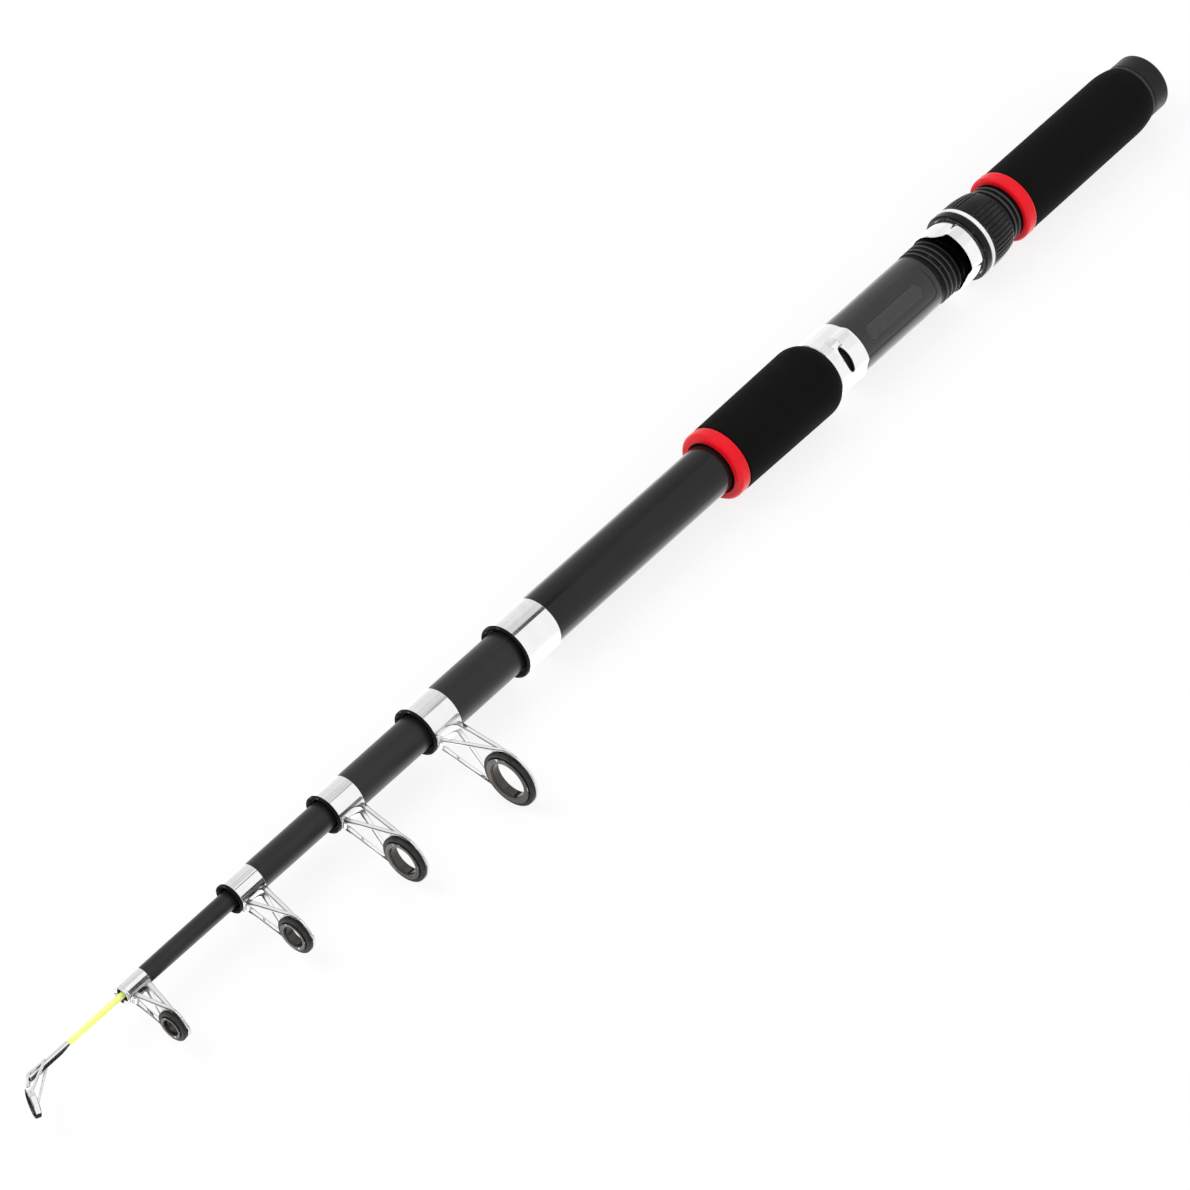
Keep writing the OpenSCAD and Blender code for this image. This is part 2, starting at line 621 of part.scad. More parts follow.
// Flat strip between two points
module strip(from, to) let (way = to - from)
    translate(from) rotate(atan2(way.y, way.x)) translate([0, -strip_w / 2]) square([norm(way), strip_w]);

// Black ring with a flange in front of the hoop and a neck through it
module shock_ring(k) color("#19191a") facing(guide_turn) translate([0, 0, ring_h[k]]) let (
    outer = ring_od[k] / 2,
    neck = ring_od[k] / 2 - hoop_lap - glue,
    inner = ring_od[k] / 2 - shock_t,
    x = ring_x(k) + glue,
    ease = 0.5
) turned([[inner, x - hoop_t - ease], [neck, x - hoop_t - ease], [neck, x], [outer - ease, x], [outer, x + ease],
    [outer, x + flange_front - ease], [outer - ease, x + flange_front], [inner, x + flange_front]]);

// Smooth liner that the line runs through
module guide_liner(k) color("#4a4a4c") facing(guide_turn) translate([0, 0, ring_h[k]]) let (
    outer = ring_od[k] / 2 - shock_t - glue,
    inner = ring_bore[k] / 2,
    round = min(outer - inner, 1.6) / 2
) turned(concat(arc([inner + round, ring_x(k) - liner_half + round], round, 180, 270),
    [[outer, ring_x(k) - liner_half], [outer, ring_x(k) + liner_half]],
    arc([inner + round, ring_x(k) + liner_half - round], round, 90, 180)));

// Solid tip with its tip ring
tip_r = front_r(6);
tip_tube_r = tip_r + glue + tip_tube_wall;
x_tip = front_x(6);
tip_stop = 2;
tip_hoop_w = 0.8;
tip_hoop_t = 2;

module tip_rod() color("#dcf02a") let (back = front_x(6) - section_len) turned([
    [0, back], [start_r(6) + cone(lap), back], [start_r(6), back + lap], [tip_r, x_tip - tip_tube_len],
    [tip_r, x_tip - tip_stop], [0, x_tip - tip_stop]]);

module tip_top_tube() color("#cfd1d3") sleeve_ring(tip_r + glue, tip_tube_r, x_tip - tip_tube_len, x_tip);

// Places things in the plane of the tip ring, with X through the ring
module tip_ring_place() facing(tip_turn) translate([x_tip + tip_ring_lead, 0, 0]) rotate([0, tip_ring_lean, 0])
    translate([0, 0, tip_ring_reach]) children();

// A point beside the tip ring's centre, given its way across and up the ring's face
function tip_ring_point(across, up) = [
    x_tip + tip_ring_lead + (tip_ring_reach + up) * sin(tip_ring_lean), across,
    (tip_ring_reach + up) * cos(tip_ring_lean)];

// Round wire between two points
module wire(from, to) let (way = to - from)
    translate(from) rotate([0, acos(way.z / norm(way)), atan2(way.y, way.x)]) cylinder(d = tip_wire, h = norm(way));

// The wires' ends stay clear of the hoop's bore
tip_mid_r = tip_ring_od / 2 - tip_hoop_w + tip_wire / 2 + 0.15;
tip_side = tip_tube_r + tip_wire / 2 + glue;
tip_brace_back = 8;

module tip_top_frame() color("#d9dbdd") union() {
    tip_ring_place() sleeve_ring(tip_ring_od / 2 - tip_hoop_w, tip_ring_od / 2, -tip_hoop_t / 2, tip_hoop_t / 2);
    facing(tip_turn) for (side = [-1, 1]) {
        wire([x_tip - tip_brace_back, side * tip_side, 0], tip_ring_point(side * tip_mid_r, 0));
        wire([x_tip - tip_brace_back, side * tip_side, 0], [x_tip, side * tip_side, 0]);
        wire([x_tip, side * tip_side, 0], tip_ring_point(side * tip_mid_r * 0.7, -tip_mid_r * 0.7));
        translate([x_tip, side * tip_side, 0]) sphere(d = tip_wire);
        translate([x_tip - tip_brace_back, side * tip_side, 0]) sphere(d = tip_wire);
    }
}

module tip_top_liner() color("#2b2b2d") tip_ring_place() let (
    outer = tip_ring_od / 2 - tip_hoop_w - glue,
    inner = tip_ring_bore / 2,
    half = tip_hoop_t / 2 + 0.2,
    round = min(outer - inner, half) / 2
) turned(concat(arc([inner + round, -half + round], round, 180, 270), [[outer, -half], [outer, half]],
    arc([inner + round, half - round], round, 90, 180)));

butt_blank();
cap_bush();
rear_grip();
rear_trim_ring();
reel_seat();
fixed_hood();
foregrip();
front_trim_ring();
ferrule(1);  // handle_ferrule
lip(1);  // handle_lip
cap_pad();
butt_cap();
sliding_hood();
locking_nut();
nut_trim_ring();
for (k = [2:5]) {
    section_tube(k);
    ferrule(k);
    lip(k);
    guide_frame(k);
    shock_ring(k);
    guide_liner(k);
}
tip_rod();
tip_top_tube();
tip_top_frame();
tip_top_liner();
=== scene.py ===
# %% [markdown]
# A telescopic spinning rod.
# The real rod is six tapered tubes that slide into each other. A foam handle carries the reel seat, each
# tube ends in a chromed sleeve with a line guide, and the solid tip is painted yellow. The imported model
# gives the place of every piece. This lesson rebuilds the visible pieces finely and gives each one a finish
# made from shader nodes.

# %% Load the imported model
import math
import bmesh
import bpy
from mathutils import Matrix, Vector


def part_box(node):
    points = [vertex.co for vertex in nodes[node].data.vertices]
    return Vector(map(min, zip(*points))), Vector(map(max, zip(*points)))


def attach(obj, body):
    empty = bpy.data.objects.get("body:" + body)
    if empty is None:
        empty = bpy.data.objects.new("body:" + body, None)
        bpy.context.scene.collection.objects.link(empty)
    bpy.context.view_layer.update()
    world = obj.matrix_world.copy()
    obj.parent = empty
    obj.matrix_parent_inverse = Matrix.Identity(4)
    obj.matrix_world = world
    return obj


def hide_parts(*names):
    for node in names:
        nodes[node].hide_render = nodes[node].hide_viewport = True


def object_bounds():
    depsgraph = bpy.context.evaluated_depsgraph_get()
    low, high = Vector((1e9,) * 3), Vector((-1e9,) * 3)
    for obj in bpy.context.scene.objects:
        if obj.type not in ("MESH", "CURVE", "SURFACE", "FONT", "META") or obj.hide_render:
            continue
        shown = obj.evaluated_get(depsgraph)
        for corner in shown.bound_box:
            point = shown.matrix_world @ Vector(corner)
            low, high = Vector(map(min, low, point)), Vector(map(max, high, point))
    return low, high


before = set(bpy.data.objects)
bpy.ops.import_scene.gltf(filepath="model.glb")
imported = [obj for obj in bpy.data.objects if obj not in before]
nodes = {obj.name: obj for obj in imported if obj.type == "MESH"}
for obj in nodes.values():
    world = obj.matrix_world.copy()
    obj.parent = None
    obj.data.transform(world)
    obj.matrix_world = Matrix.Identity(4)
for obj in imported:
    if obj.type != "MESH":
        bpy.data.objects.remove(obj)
cad_low, cad_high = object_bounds()
scene = bpy.context.scene

# %% [markdown]
# Nodes in code.
# Light, floor and finishes are all made of shader nodes. Placing every node and link by hand takes many
# lines, so four small helpers do it. A plain value is typed into a socket, and the output of another node
# is linked to it.

# %% Helpers for shader nodes
MM = 0.001
WHITE = (1, 1, 1, 1)


def plug(tree, value, socket):
    """Puts a value into a socket, or links the output of another node to it."""
    if isinstance(value, bpy.types.NodeSocket):
        tree.links.new(value, socket)
    else:
        socket.default_value = value


def add(tree, kind, **values):
    """A new node, with inputs by their label (a space is written _) and settings by their name."""
    made = tree.nodes.new(kind)
    for key, value in values.items():
        label = key.replace("_", " ")
        if label in made.inputs:
            plug(tree, value, made.inputs[label])
        else:
            setattr(made, key, value)
    return made


def worked(tree, operation, *values):
    """What a Math node makes of some values."""
    made = add(tree, "ShaderNodeMath", operation=operation)
    for value, socket in zip(values, made.inputs):
        plug(tree, value, socket)
    return made.outputs[0]


def ranged(tree, value, **limits):
    """A value carried from one range to another and kept in it. Ranges are 0 to 1 unless given."""
    return add(tree, "ShaderNodeMapRange", Value=value, **limits).outputs["Result"]


print("node helpers ready")

# %% [markdown]
# Light and floor.
# The rod was photographed in an all white room, so black plastic turns pale towards its edges and chrome is
# nearly white. A white world does that. It gives full white only to rays that look at it or mirror it, and
# less to rays that light the object, so colours stay as they are written. Photographers add dark and grey
# cards beside chrome to draw lines on it, and so does this scene: the cards are seen in reflections only.
# The camera's own side of the room is dark, so faces that lean forwards turn black.

# %% White room
LIGHT_LEVEL = 0.8
SEEN_LEVEL = 1.0


def white_for_sight(tree):
    """Value that is 1 for rays that see or mirror a surface, and 0 for rays that only light something."""
    path = tree.nodes.new("ShaderNodeLightPath").outputs
    seen = worked(tree, "MAXIMUM", path["Is Camera Ray"], path["Is Glossy Ray"])
    return worked(tree, "MAXIMUM", seen, path["Is Transmission Ray"])


scene.view_settings.view_transform = "Standard"
world = bpy.data.worlds.new("white_room")
scene.world = world
world.use_nodes = True
tree = world.node_tree
sky = tree.nodes["Background"]
sky.inputs["Color"].default_value = WHITE
level = ranged(tree, white_for_sight(tree), To_Min=LIGHT_LEVEL, To_Max=SEEN_LEVEL)
tree.links.new(level, sky.inputs["Strength"])
print("world", world.name)

# %% Pale floor that keeps the shadow
FLOOR_HALF = 9
PAPER = (0.93, 0.93, 0.93, 1)
PAPER_GLOW = 0.82
floor_z = cad_low.z - 0.0002


def stage_sheet(name, points, faces):
    """A sheet of the studio, which isn't part of the rod."""
    mesh = bpy.data.meshes.new(name)
    mesh.from_pydata(points, [], faces)
    sheet = bpy.data.objects.new(name, mesh)
    scene.collection.objects.link(sheet)
    return sheet


def flat_sheet(name, centre, along, across):
    """A four cornered sheet from its centre and two half sides."""
    c, a, b = Vector(centre), Vector(along), Vector(across)
    return stage_sheet(name, [c - a - b, c + a - b, c + a + b, c - a + b], [(0, 1, 2, 3)])


def bare_material(name):
    """A material with no nodes yet, and its tree."""
    material = bpy.data.materials.new(name)
    material.use_nodes = True
    material.node_tree.nodes.clear()
    return material, material.node_tree


floor = flat_sheet("floor", (0.26, 0, floor_z), (FLOOR_HALF, 0, 0), (0, FLOOR_HALF, 0))
paper, tree = bare_material("floor_paper")
matt = add(tree, "ShaderNodeBsdfDiffuse", Color=PAPER)
glow = add(tree, "ShaderNodeEmission", Color=WHITE)
mix = add(tree, "ShaderNodeMixShader", Fac=worked(tree, "MULTIPLY", white_for_sight(tree), PAPER_GLOW))
tree.links.new(matt.outputs[0], mix.inputs[1])
tree.links.new(glow.outputs[0], mix.inputs[2])
add(tree, "ShaderNodeOutputMaterial", Surface=mix.outputs[0])
floor.data.materials.append(paper)
print("floor at", round(floor_z, 5))

# %% Cards about the rod


def only_mirrored(card, level):
    """Gives a card an even level that only reflections see. White paper is 1 and a lit screen is more."""
    coat, tree = bare_material(card.name)
    shine = add(tree, "ShaderNodeEmission", Color=WHITE, Strength=level)
    add(tree, "ShaderNodeOutputMaterial", Surface=shine.outputs[0])
    card.data.materials.append(coat)
    card.visible_camera = False
    card.visible_diffuse = False
    card.visible_shadow = False
    card.visible_transmission = False


def around(x, r, a):
    """Point at a station, a radius and an angle in radians from straight up."""
    return (x, r * math.sin(a), r * math.cos(a))


def mirror_card(name, x_from, x_to, a_from, a_to, far, level):
    """A card bent about the rod at a distance, between two stations and two angles in degrees."""
    steps = 12
    points = []
    for i in range(steps + 1):
        a = math.radians(a_from + (a_to - a_from) * i / steps)
        points += [around(x, far, a) for x in (x_from, x_to)]
    faces = [(2 * i, 2 * i + 1, 2 * i + 3, 2 * i + 2) for i in range(steps)]
    only_mirrored(stage_sheet(name, points, faces), level)


# A ray that leaves the rod at station X meets a card 0.7 m away about 0.4 m further back
# Stations, angles about the rod, distance and level of each card
MIRROR_CARDS = {
    "grey_side_86": (-0.3, 0.8, -86, -60, 0.72, 0.9),
    "grey_side_60": (-0.3, 0.8, -60, -34, 0.72, 0.84),
    "grey_side_38": (-0.3, 0.8, -38, -12, 0.72, 0.76),
    "grey_side_18": (-0.3, 0.8, -18, -5, 0.72, 0.66),
    "pale_side": (-0.7, -0.3, -70, -30, 0.72, 0.92),
    "pale_top": (-0.7, -0.3, -30, 10, 0.72, 0.82),
    "pale_end": (-0.7, -0.3, 10, 40, 0.72, 0.92),
    "strip_mouth_1": (-0.118, -0.07, -6, 8, 0.7, 0.05),
    "strip_mouth_2": (-0.04, -0.004, -4, 8, 0.7, 0.42),
    "strip_mouth_3": (0.03, 0.07, -2, 8, 0.7, 0.5),
    "strip_mouth_4_line": (0.1, 0.14, 4, 12, 0.7, 0.3),
    "strip_mouth_4": (0.1, 0.14, 70, 100, 0.7, 0.02),
    "strip_mouth_5": (0.183, 0.217, 40, 100, 0.7, 0.02),
    "strip_tip_tube": (0.235, 0.29, 42, 95, 0.7, 0.02),
}
for label, row in MIRROR_CARDS.items():
    mirror_card(label, *row)
print("cards about the rod", len(MIRROR_CARDS))

# %% Cards on the floor, and one in front


def floor_card(name, x_from, x_to, near, far, slant, level, lift_mm):
    """A card on the floor between two stations and two distances beside the rod, drawn back by a slant."""
    corners = ((x_from, near), (x_to, near), (x_to, far), (x_from, far))
    points = [(x - slant * y, y, floor_z + lift_mm * MM) for x, y in corners]
    only_mirrored(stage_sheet(name, points, [(0, 1, 2, 3)]), level)


# Lit paper beside the rod brightens the tubes' lower edges, and dark cards darken the small sleeves
# Stations, distances beside the rod, slant, level and lift in millimetres of each card
FLOOR_CARDS = {
    "lit_near": (-0.9, 0.9, 0.004, 0.026, 0, 1.8, 0.04),
    "lit_next": (-0.9, 0.9, 0.026, 0.06, 0, 1.1, 0.04),
    "lit_far": (-0.9, 0.9, -0.02, -0.1, 0, 1.5, 0.04),
    "under_tip": (0.56, 0.65, -0.015, 0.03, 0, 0.04, 0.08),
    "band_4": (0.456, 0.475, 0.05, 0.75, 0.5, 0.03, 0.1),
    "band_5": (0.508, 0.528, 0.006, 0.75, 0.464, 0.03, 0.1),
    "band_tip": (0.553, 0.575, 0.001, 0.75, 0.434, 0.02, 0.1),
}
for label, row in FLOOR_CARDS.items():
    floor_card(label, *row)
FRONT_LEVEL = 0.04
only_mirrored(flat_sheet("dark_front", (1.7, 0.1, 0.75), (0, 1.6, 0), (0, 0, 0.7)), FRONT_LEVEL)
print("cards on the floor", len(FLOOR_CARDS))

# %% [markdown]
# Lamps.
# The white room alone lights the rod evenly from everywhere. Two large square lamps add a soft direction,
# so that the rod looks round and the floor gets a shadow. They don't show in reflections, because the cards
# draw those.

# %% Two soft lamps
ROD_MIDDLE = Vector((0.27, 0, 0))


def soft_lamp(name, place, size, watts):
    """A square lamp that points at the middle of the rod and doesn't show in reflections."""
    lamp = bpy.data.lights.new(name, "AREA")
    lamp.shape = "SQUARE"
    lamp.size = size
    lamp.energy = watts
    thing = bpy.data.objects.new(name, lamp)
    scene.collection.objects.link(thing)
    thing.location = place
    thing.rotation_euler = (ROD_MIDDLE - Vector(place)).to_track_quat("-Z", "Y").to_euler()
    thing.visible_glossy = False


soft_lamp("key_lamp", (1.0, -0.75, 1.45), 1.1, 12)
soft_lamp("fill_lamp", (0.1, 1.5, 1.2), 1.2, 6)

# %% [markdown]
# Camera.
# The rod runs from the top right of the photograph to its bottom left, and the guides lie to the right. The
# three directions below were found by fitting the centres and widths of the rims and rings, which are
# circles on the real rod and ellipses in the photograph. A long lens keeps the tubes nearly parallel.

# %% Camera at the photograph's angle
RIGHT = Vector((-0.633, 0.774, 0))
TOWARDS = Vector((0.525, 0.4294, 0.735))
UP = TOWARDS.cross(RIGHT)
CAMERA_FAR = 1.767
LENS = 151.26
aim = Vector((0.28885, 0, 0)) + RIGHT * 0.0041 - UP * 0.00442
spot = aim + TOWARDS * CAMERA_FAR
eye = bpy.data.cameras.new("photo_camera")
eye.lens = LENS
eye.sensor_width = 36
eye.clip_end = 50
camera = bpy.data.objects.new("photo_camera", eye)
scene.collection.objects.link(camera)
camera.matrix_world = Matrix.Translation(spot) @ Matrix((RIGHT, UP, TOWARDS)).transposed().to_4x4()
scene.camera = camera
print("camera at", [round(v, 4) for v in spot])

# %% [markdown]
# Patterns for the finishes.
# A finish is a Principled shader with a few patterns. A pattern that more than one finish uses is a node
# group with named sockets, built once. The groups below only put out masks and heights that vary over the
# surface. The shader itself, and every number that is the same all over, stays in the material.

# %% Helpers for node groups


def new_group(name, inputs, outputs):
    """A shader group with float inputs (label to default) and outputs, and the sockets at its two ends."""
    group = bpy.data.node_groups.new(name, "ShaderNodeTree")
    for label, value in inputs.items():
        socket = group.interface.new_socket(label, in_out="INPUT", socket_type="NodeSocketFloat")
        socket.default_value = value
    for label in outputs:
        group.interface.new_socket(label, in_out="OUTPUT", socket_type="NodeSocketFloat")
    return group, group.nodes.new("NodeGroupInput").outputs, group.nodes.new("NodeGroupOutput").inputs


def own_place(tree):
    """The object's own coordinates."""
    return tree.nodes.new("ShaderNodeTexCoord").outputs["Object"]


def stretched(tree, x, y, z):
    """The object's own coordinates, stretched along each direction."""
    return add(tree, "ShaderNodeMapping", Vector=own_place(tree), Scale=(x, y, z)).outputs["Vector"]


def noise(tree, place, scale, detail, roughness):
    """Height of a noise texture."""
    made = add(tree, "ShaderNodeTexNoise", Vector=place, Scale=scale, Detail=detail, Roughness=roughness)
    return made.outputs["Fac"]


print("group helpers ready")

# %% [markdown]
# Cloudy grain.
# Moulded plastic, lacquer and rubber are never even. Soft clouds change how shiny they are, and a much
# finer grain roughens them. Two noise textures of different size do both.

# %% Group for cloudy grain
clouds, feed, give = new_group("cloudy_grain", {"Cloud Scale": 60, "Grain Scale": 2500}, ["Clouds", "Grain"])
spread = stretched(clouds, 1, 1, 1)
large = noise(clouds, spread, feed["Cloud Scale"], 5, 0.6)
small = noise(clouds, spread, feed["Grain Scale"], 3, 0.55)
clouds.links.new(ranged(clouds, large, From_Min=0.3, From_Max=0.7), give["Clouds"])
clouds.links.new(small, give["Grain"])
print("group", clouds.name)

# %% [markdown]
# Rubbed lines.
# The tubes slide in and out of each other, which draws fine hairlines along them. Noise that is squeezed
# across the rod and drawn out along it gives such lines, and a steep range keeps only the strongest of
# them.

# %% Group for rubbed lines
rubs, feed, give = new_group("rubbed_lines", {"Fineness": 900, "Share": 0.12}, ["Lines"])
hair = noise(rubs, stretched(rubs, 0.018, 1, 1), feed["Fineness"], 4, 0.7)
least = worked(rubs, "SUBTRACT", 0.74, feed["Share"])
rubs.links.new(ranged(rubs, hair, From_Min=least, From_Max=0.78), give["Lines"])
print("group", rubs.name)

# %% [markdown]
# Turned lines.
# Sleeves, rings and hoods are turned or polished on a spindle, which leaves very fine lines round the rod.
# Noise that changes fast along the rod and slowly round it looks like that.

# %% Group for turned lines
spins, feed, give = new_group("turned_lines", {"Fineness": 4000}, ["Lines"])
spins.links.new(noise(spins, stretched(spins, 1, 0.02, 0.02), feed["Fineness"], 3, 0.6), give["Lines"])
print("group", spins.name)

# %% [markdown]
# Worn edges and painted edge light.
# Hands and sand wear the raised edges first. Blender's pointiness tells how far a vertex sticks out.
# Multiplied by clouds it becomes a broken line of wear along the edges. Some finishes use the same line
# for a painted highlight or a painted dark outline on their edges instead of wear.

# %% Group for worn edges and painted edge light
edge_wear_and_light_group, feed, give = new_group("edge_wear_and_painted_light", {"Start": 0.53, "Full": 0.62, "Break Scale": 400}, ["Wear"])
sticks_out = edge_wear_and_light_group.nodes.new("ShaderNodeNewGeometry").outputs["Pointiness"]
raised = ranged(edge_wear_and_light_group, sticks_out, From_Min=feed["Start"], From_Max=feed["Full"])
breakup_noise = noise(edge_wear_and_light_group, stretched(edge_wear_and_light_group, 1, 1, 1), feed["Break Scale"], 4, 0.65)
broken = worked(edge_wear_and_light_group, "MULTIPLY", raised, ranged(edge_wear_and_light_group, breakup_noise, From_Min=0.3, From_Max=0.55))
edge_wear_and_light_group.links.new(broken, give["Wear"])
print("group", edge_wear_and_light_group.name)

# %% [markdown]
# Finishes.
# Every finish starts in the same way, with a Principled shader and its plain numbers. Small helpers then
# blend two colours by a mask, drive a number by a mask and turn a height into a bump, so that each finish
# below reads like a recipe.

# %% Start a finish, and place a pattern in it


def grey(level):
    """A colour with no hue."""
    return (level, level, level)


def finish(name, colour, roughness, **sockets):
    """A material with a Principled shader. Returns the material, its tree and the shader's inputs."""
    material = bpy.data.materials.new(name)
    material.use_nodes = True
    shader = material.node_tree.nodes["Principled BSDF"].inputs
    shader["Base Color"].default_value = (*colour, 1)
    shader["Roughness"].default_value = roughness
    for label, value in sockets.items():
        shader[label.replace("_", " ")].default_value = value
    material.diffuse_color = (*colour, 1)
    return material, material.node_tree, shader


def pattern(tree, group, **values):
    """Outputs of one of the groups, placed in a material with its own values."""
    return add(tree, "ShaderNodeGroup", node_tree=group, **values).outputs


def between(tree, mask, low, high, socket):
    """Drives a number of the shader between two values by a mask."""
    tree.links.new(ranged(tree, mask, To_Min=low, To_Max=high), socket)


def blended(tree, mask, first, second):
    """A colour between two, by a mask. Either colour may be the output of another node."""
    blend = add(tree, "ShaderNodeMix", data_type="RGBA", Factor=mask)
    for label, colour in (("A", first), ("B", second)):
        socket = [s for s in blend.inputs if s.name == label and s.type == "RGBA"][0]
        plug(tree, (*colour, 1) if isinstance(colour, tuple) else colour, socket)
    return [s for s in blend.outputs if s.type == "RGBA"][0]


def embossed(tree, shader, height, strength, depth_mm):
    """Feeds a height into the shader's normal."""
    bump = add(tree, "ShaderNodeBump", Strength=strength, Distance=depth_mm * MM, Height=height)
    tree.links.new(bump.outputs["Normal"], shader["Normal"])


print("finish helpers ready")

# %% [markdown]
# Finishes of the tubes.
# The tubes are composite under a clear lacquer. The handle tube is deep black and the drawn sections are a
# warm charcoal. Hairlines from sliding break up the shine. The tip is painted in a bright yellow green.

# %% Lacquered tubes


def lacquer(name, dark, pale, smooth, dull, level=0.5):
    """Lacquer with clouds in its colour and shine, and paler hairlines along the tube."""
    material, tree, shader = finish(name, dark, smooth, Specular_IOR_Level=level)
    cloud = pattern(tree, clouds, Cloud_Scale=45, Grain_Scale=1800)
    line = pattern(tree, rubs, Fineness=1100, Share=0.1)
    under = blended(tree, cloud["Clouds"], dark, pale)
    rubbed = tuple(min(1, 2.2 * v + 0.02) for v in pale)
    tree.links.new(blended(tree, line["Lines"], under, rubbed), shader["Base Color"])
    between(tree, cloud["Clouds"], smooth, dull, shader["Roughness"])
    embossed(tree, shader, cloud["Grain"], 0.06, 0.02)
    return material


lacquer_black = lacquer("lacquer_black", (0.0045, 0.0044, 0.0046), (0.0075, 0.0072, 0.0074), 0.12, 0.2, 0.3)
tube_charcoal = lacquer("tube_charcoal", (0.0075, 0.0068, 0.0064), (0.0125, 0.0115, 0.0108), 0.34, 0.46, 0.4)
tip_yellow = lacquer("tip_yellow", (0.86, 0.98, 0.2), (0.94, 1.0, 0.34), 0.3, 0.42)
print("tube finishes", lacquer_black.name, tube_charcoal.name, tip_yellow.name)

# %% [markdown]
# Dark end of the tip.
# The tip's ring is glued on. It could be a piece of its own, but it is only a stain on the end of the
# rod, so a mask along the rod recolours the paint there. The last few millimetres of the yellow rod,
# inside the ring's tube, are coloured near black by a mask along the rod, which recolours the paint
# there.

# %% Dark end of the tip
DARK_END_LEN = 3


def station_mask(tree, begin, end):
    """Value that runs from 0 to 1 between two stations in millimetres, along the rod at rest."""
    along = add(tree, "ShaderNodeSeparateXYZ", Vector=own_place(tree)).outputs["X"]
    if begin < end:
        return ranged(tree, along, From_Min=begin * MM, From_Max=end * MM)
    return ranged(tree, along, From_Min=end * MM, From_Max=begin * MM, To_Min=1, To_Max=0)


def recolour(material, mask, colour):
    """Lays another colour over a finish where a mask is 1. Returns the shader's inputs."""
    tree = material.node_tree
    shader = tree.nodes["Principled BSDF"].inputs
    first = shader["Base Color"].links[0].from_socket
    tree.links.new(blended(tree, mask, first, colour), shader["Base Color"])
    return shader


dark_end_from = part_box("tip_rod")[1].x / MM - DARK_END_LEN
recolour(tip_yellow, station_mask(tip_yellow.node_tree, dark_end_from, dark_end_from + 0.4), grey(0.004))
print("dark end from", round(dark_end_from, 1))

# %% [markdown]
# Foam.
# The grips are closed cell foam, ground to shape and matt. Tiny cells show as pits of different size. Two
# cell textures, one coarse and one fine, make pits in the colour and in the bump, and hands leave slightly
# paler clouds.

# %% Foam of the grips
grip_foam, tree, shader = finish("grip_foam", (0.004, 0.0038, 0.0037), 0.9, Specular_IOR_Level=0.06,
    Sheen_Weight=0.03, Sheen_Roughness=0.3)
place = own_place(tree)
coarse = add(tree, "ShaderNodeTexVoronoi", Vector=place, Scale=1500).outputs["Distance"]
fine = add(tree, "ShaderNodeTexVoronoi", Vector=place, Scale=3600).outputs["Distance"]
pits = worked(tree, "MULTIPLY_ADD", coarse, 0.6, fine)
cloud = pattern(tree, clouds, Cloud_Scale=55, Grain_Scale=1200)
ground = blended(tree, cloud["Clouds"], (0.0022, 0.0021, 0.0021), (0.0036, 0.0034, 0.0033))
tree.links.new(blended(tree, pits, ground, (0.006, 0.0057, 0.0054)), shader["Base Color"])
between(tree, cloud["Clouds"], 0.82, 0.95, shader["Roughness"])
embossed(tree, shader, pits, 0.45, 0.12)
print("foam", grip_foam.name)

# %% [markdown]
# Plastics and rubber.
# The reel seat, nut, cap, lips and shock rings are moulded. They share one recipe with different colour and
# gloss: clouds in the roughness, a fine moulded grain, and paler wear where an edge stands out. On the nut's
# ribs, the lips and the shock rings that paler edge is a painted highlight instead of wear.

# %% Moulded plastics


def moulded(name, dark, pale, smooth, dull, edge_wear_and_highlight, grain=0.12, level=0.5, start=0.53, full=0.62):
    """Moulded plastic: clouds in colour and shine, fine grain, paler raised edges as wear and painted
    highlight.
    """
    material, tree, shader = finish(name, dark, smooth, Specular_IOR_Level=level)
    cloud = pattern(tree, clouds, Cloud_Scale=80, Grain_Scale=3000)
    edge = pattern(tree, edge_wear_and_light_group, Start=start, Full=full)
    under = blended(tree, cloud["Clouds"], dark, pale)
    tree.links.new(blended(tree, edge["Wear"], under, edge_wear_and_highlight), shader["Base Color"])
    between(tree, cloud["Clouds"], smooth, dull, shader["Roughness"])
    embossed(tree, shader, cloud["Grain"], grain, 0.03)
    return material


SEAT_WORN = (0.05, 0.05, 0.053)
# Lower thresholds widen the paler edge into the painted highlight on the nut's ribs and the shock rings
BROAD_EDGE_HIGHLIGHT = {"start": 0.515, "full": 0.56}
seat_plastic = moulded("seat_plastic", (0.0115, 0.0115, 0.0127), (0.0165, 0.0165, 0.018), 0.2, 0.32,
    SEAT_WORN)
seat_pad = moulded("seat_pad", (0.022, 0.022, 0.024), (0.028, 0.028, 0.03), 0.2, 0.3, SEAT_WORN)
# The thread's plastic is a darker, duller copy of the seat's: painted shade in its grooves
thread_plastic_painted_light = moulded("thread_plastic_painted_light", grey(0.002), grey(0.0035), 0.3, 0.42, grey(0.03), level=0.15)
# The nut's paler rib edges are a painted highlight
nut_plastic = moulded("nut_plastic", grey(0.004), grey(0.007), 0.28, 0.4, grey(0.085), level=0.14,
    **BROAD_EDGE_HIGHLIGHT)
cap_plastic = moulded("cap_plastic", (0.005, 0.005, 0.0052), (0.008, 0.008, 0.0082), 0.36, 0.48, grey(0.03),
    level=0.2)
# The lips' pale rim line is a painted highlight
lip_plastic = moulded("lip_plastic", grey(0.002), grey(0.0035), 0.5, 0.6, grey(0.12), grain=0.1, level=0.12)
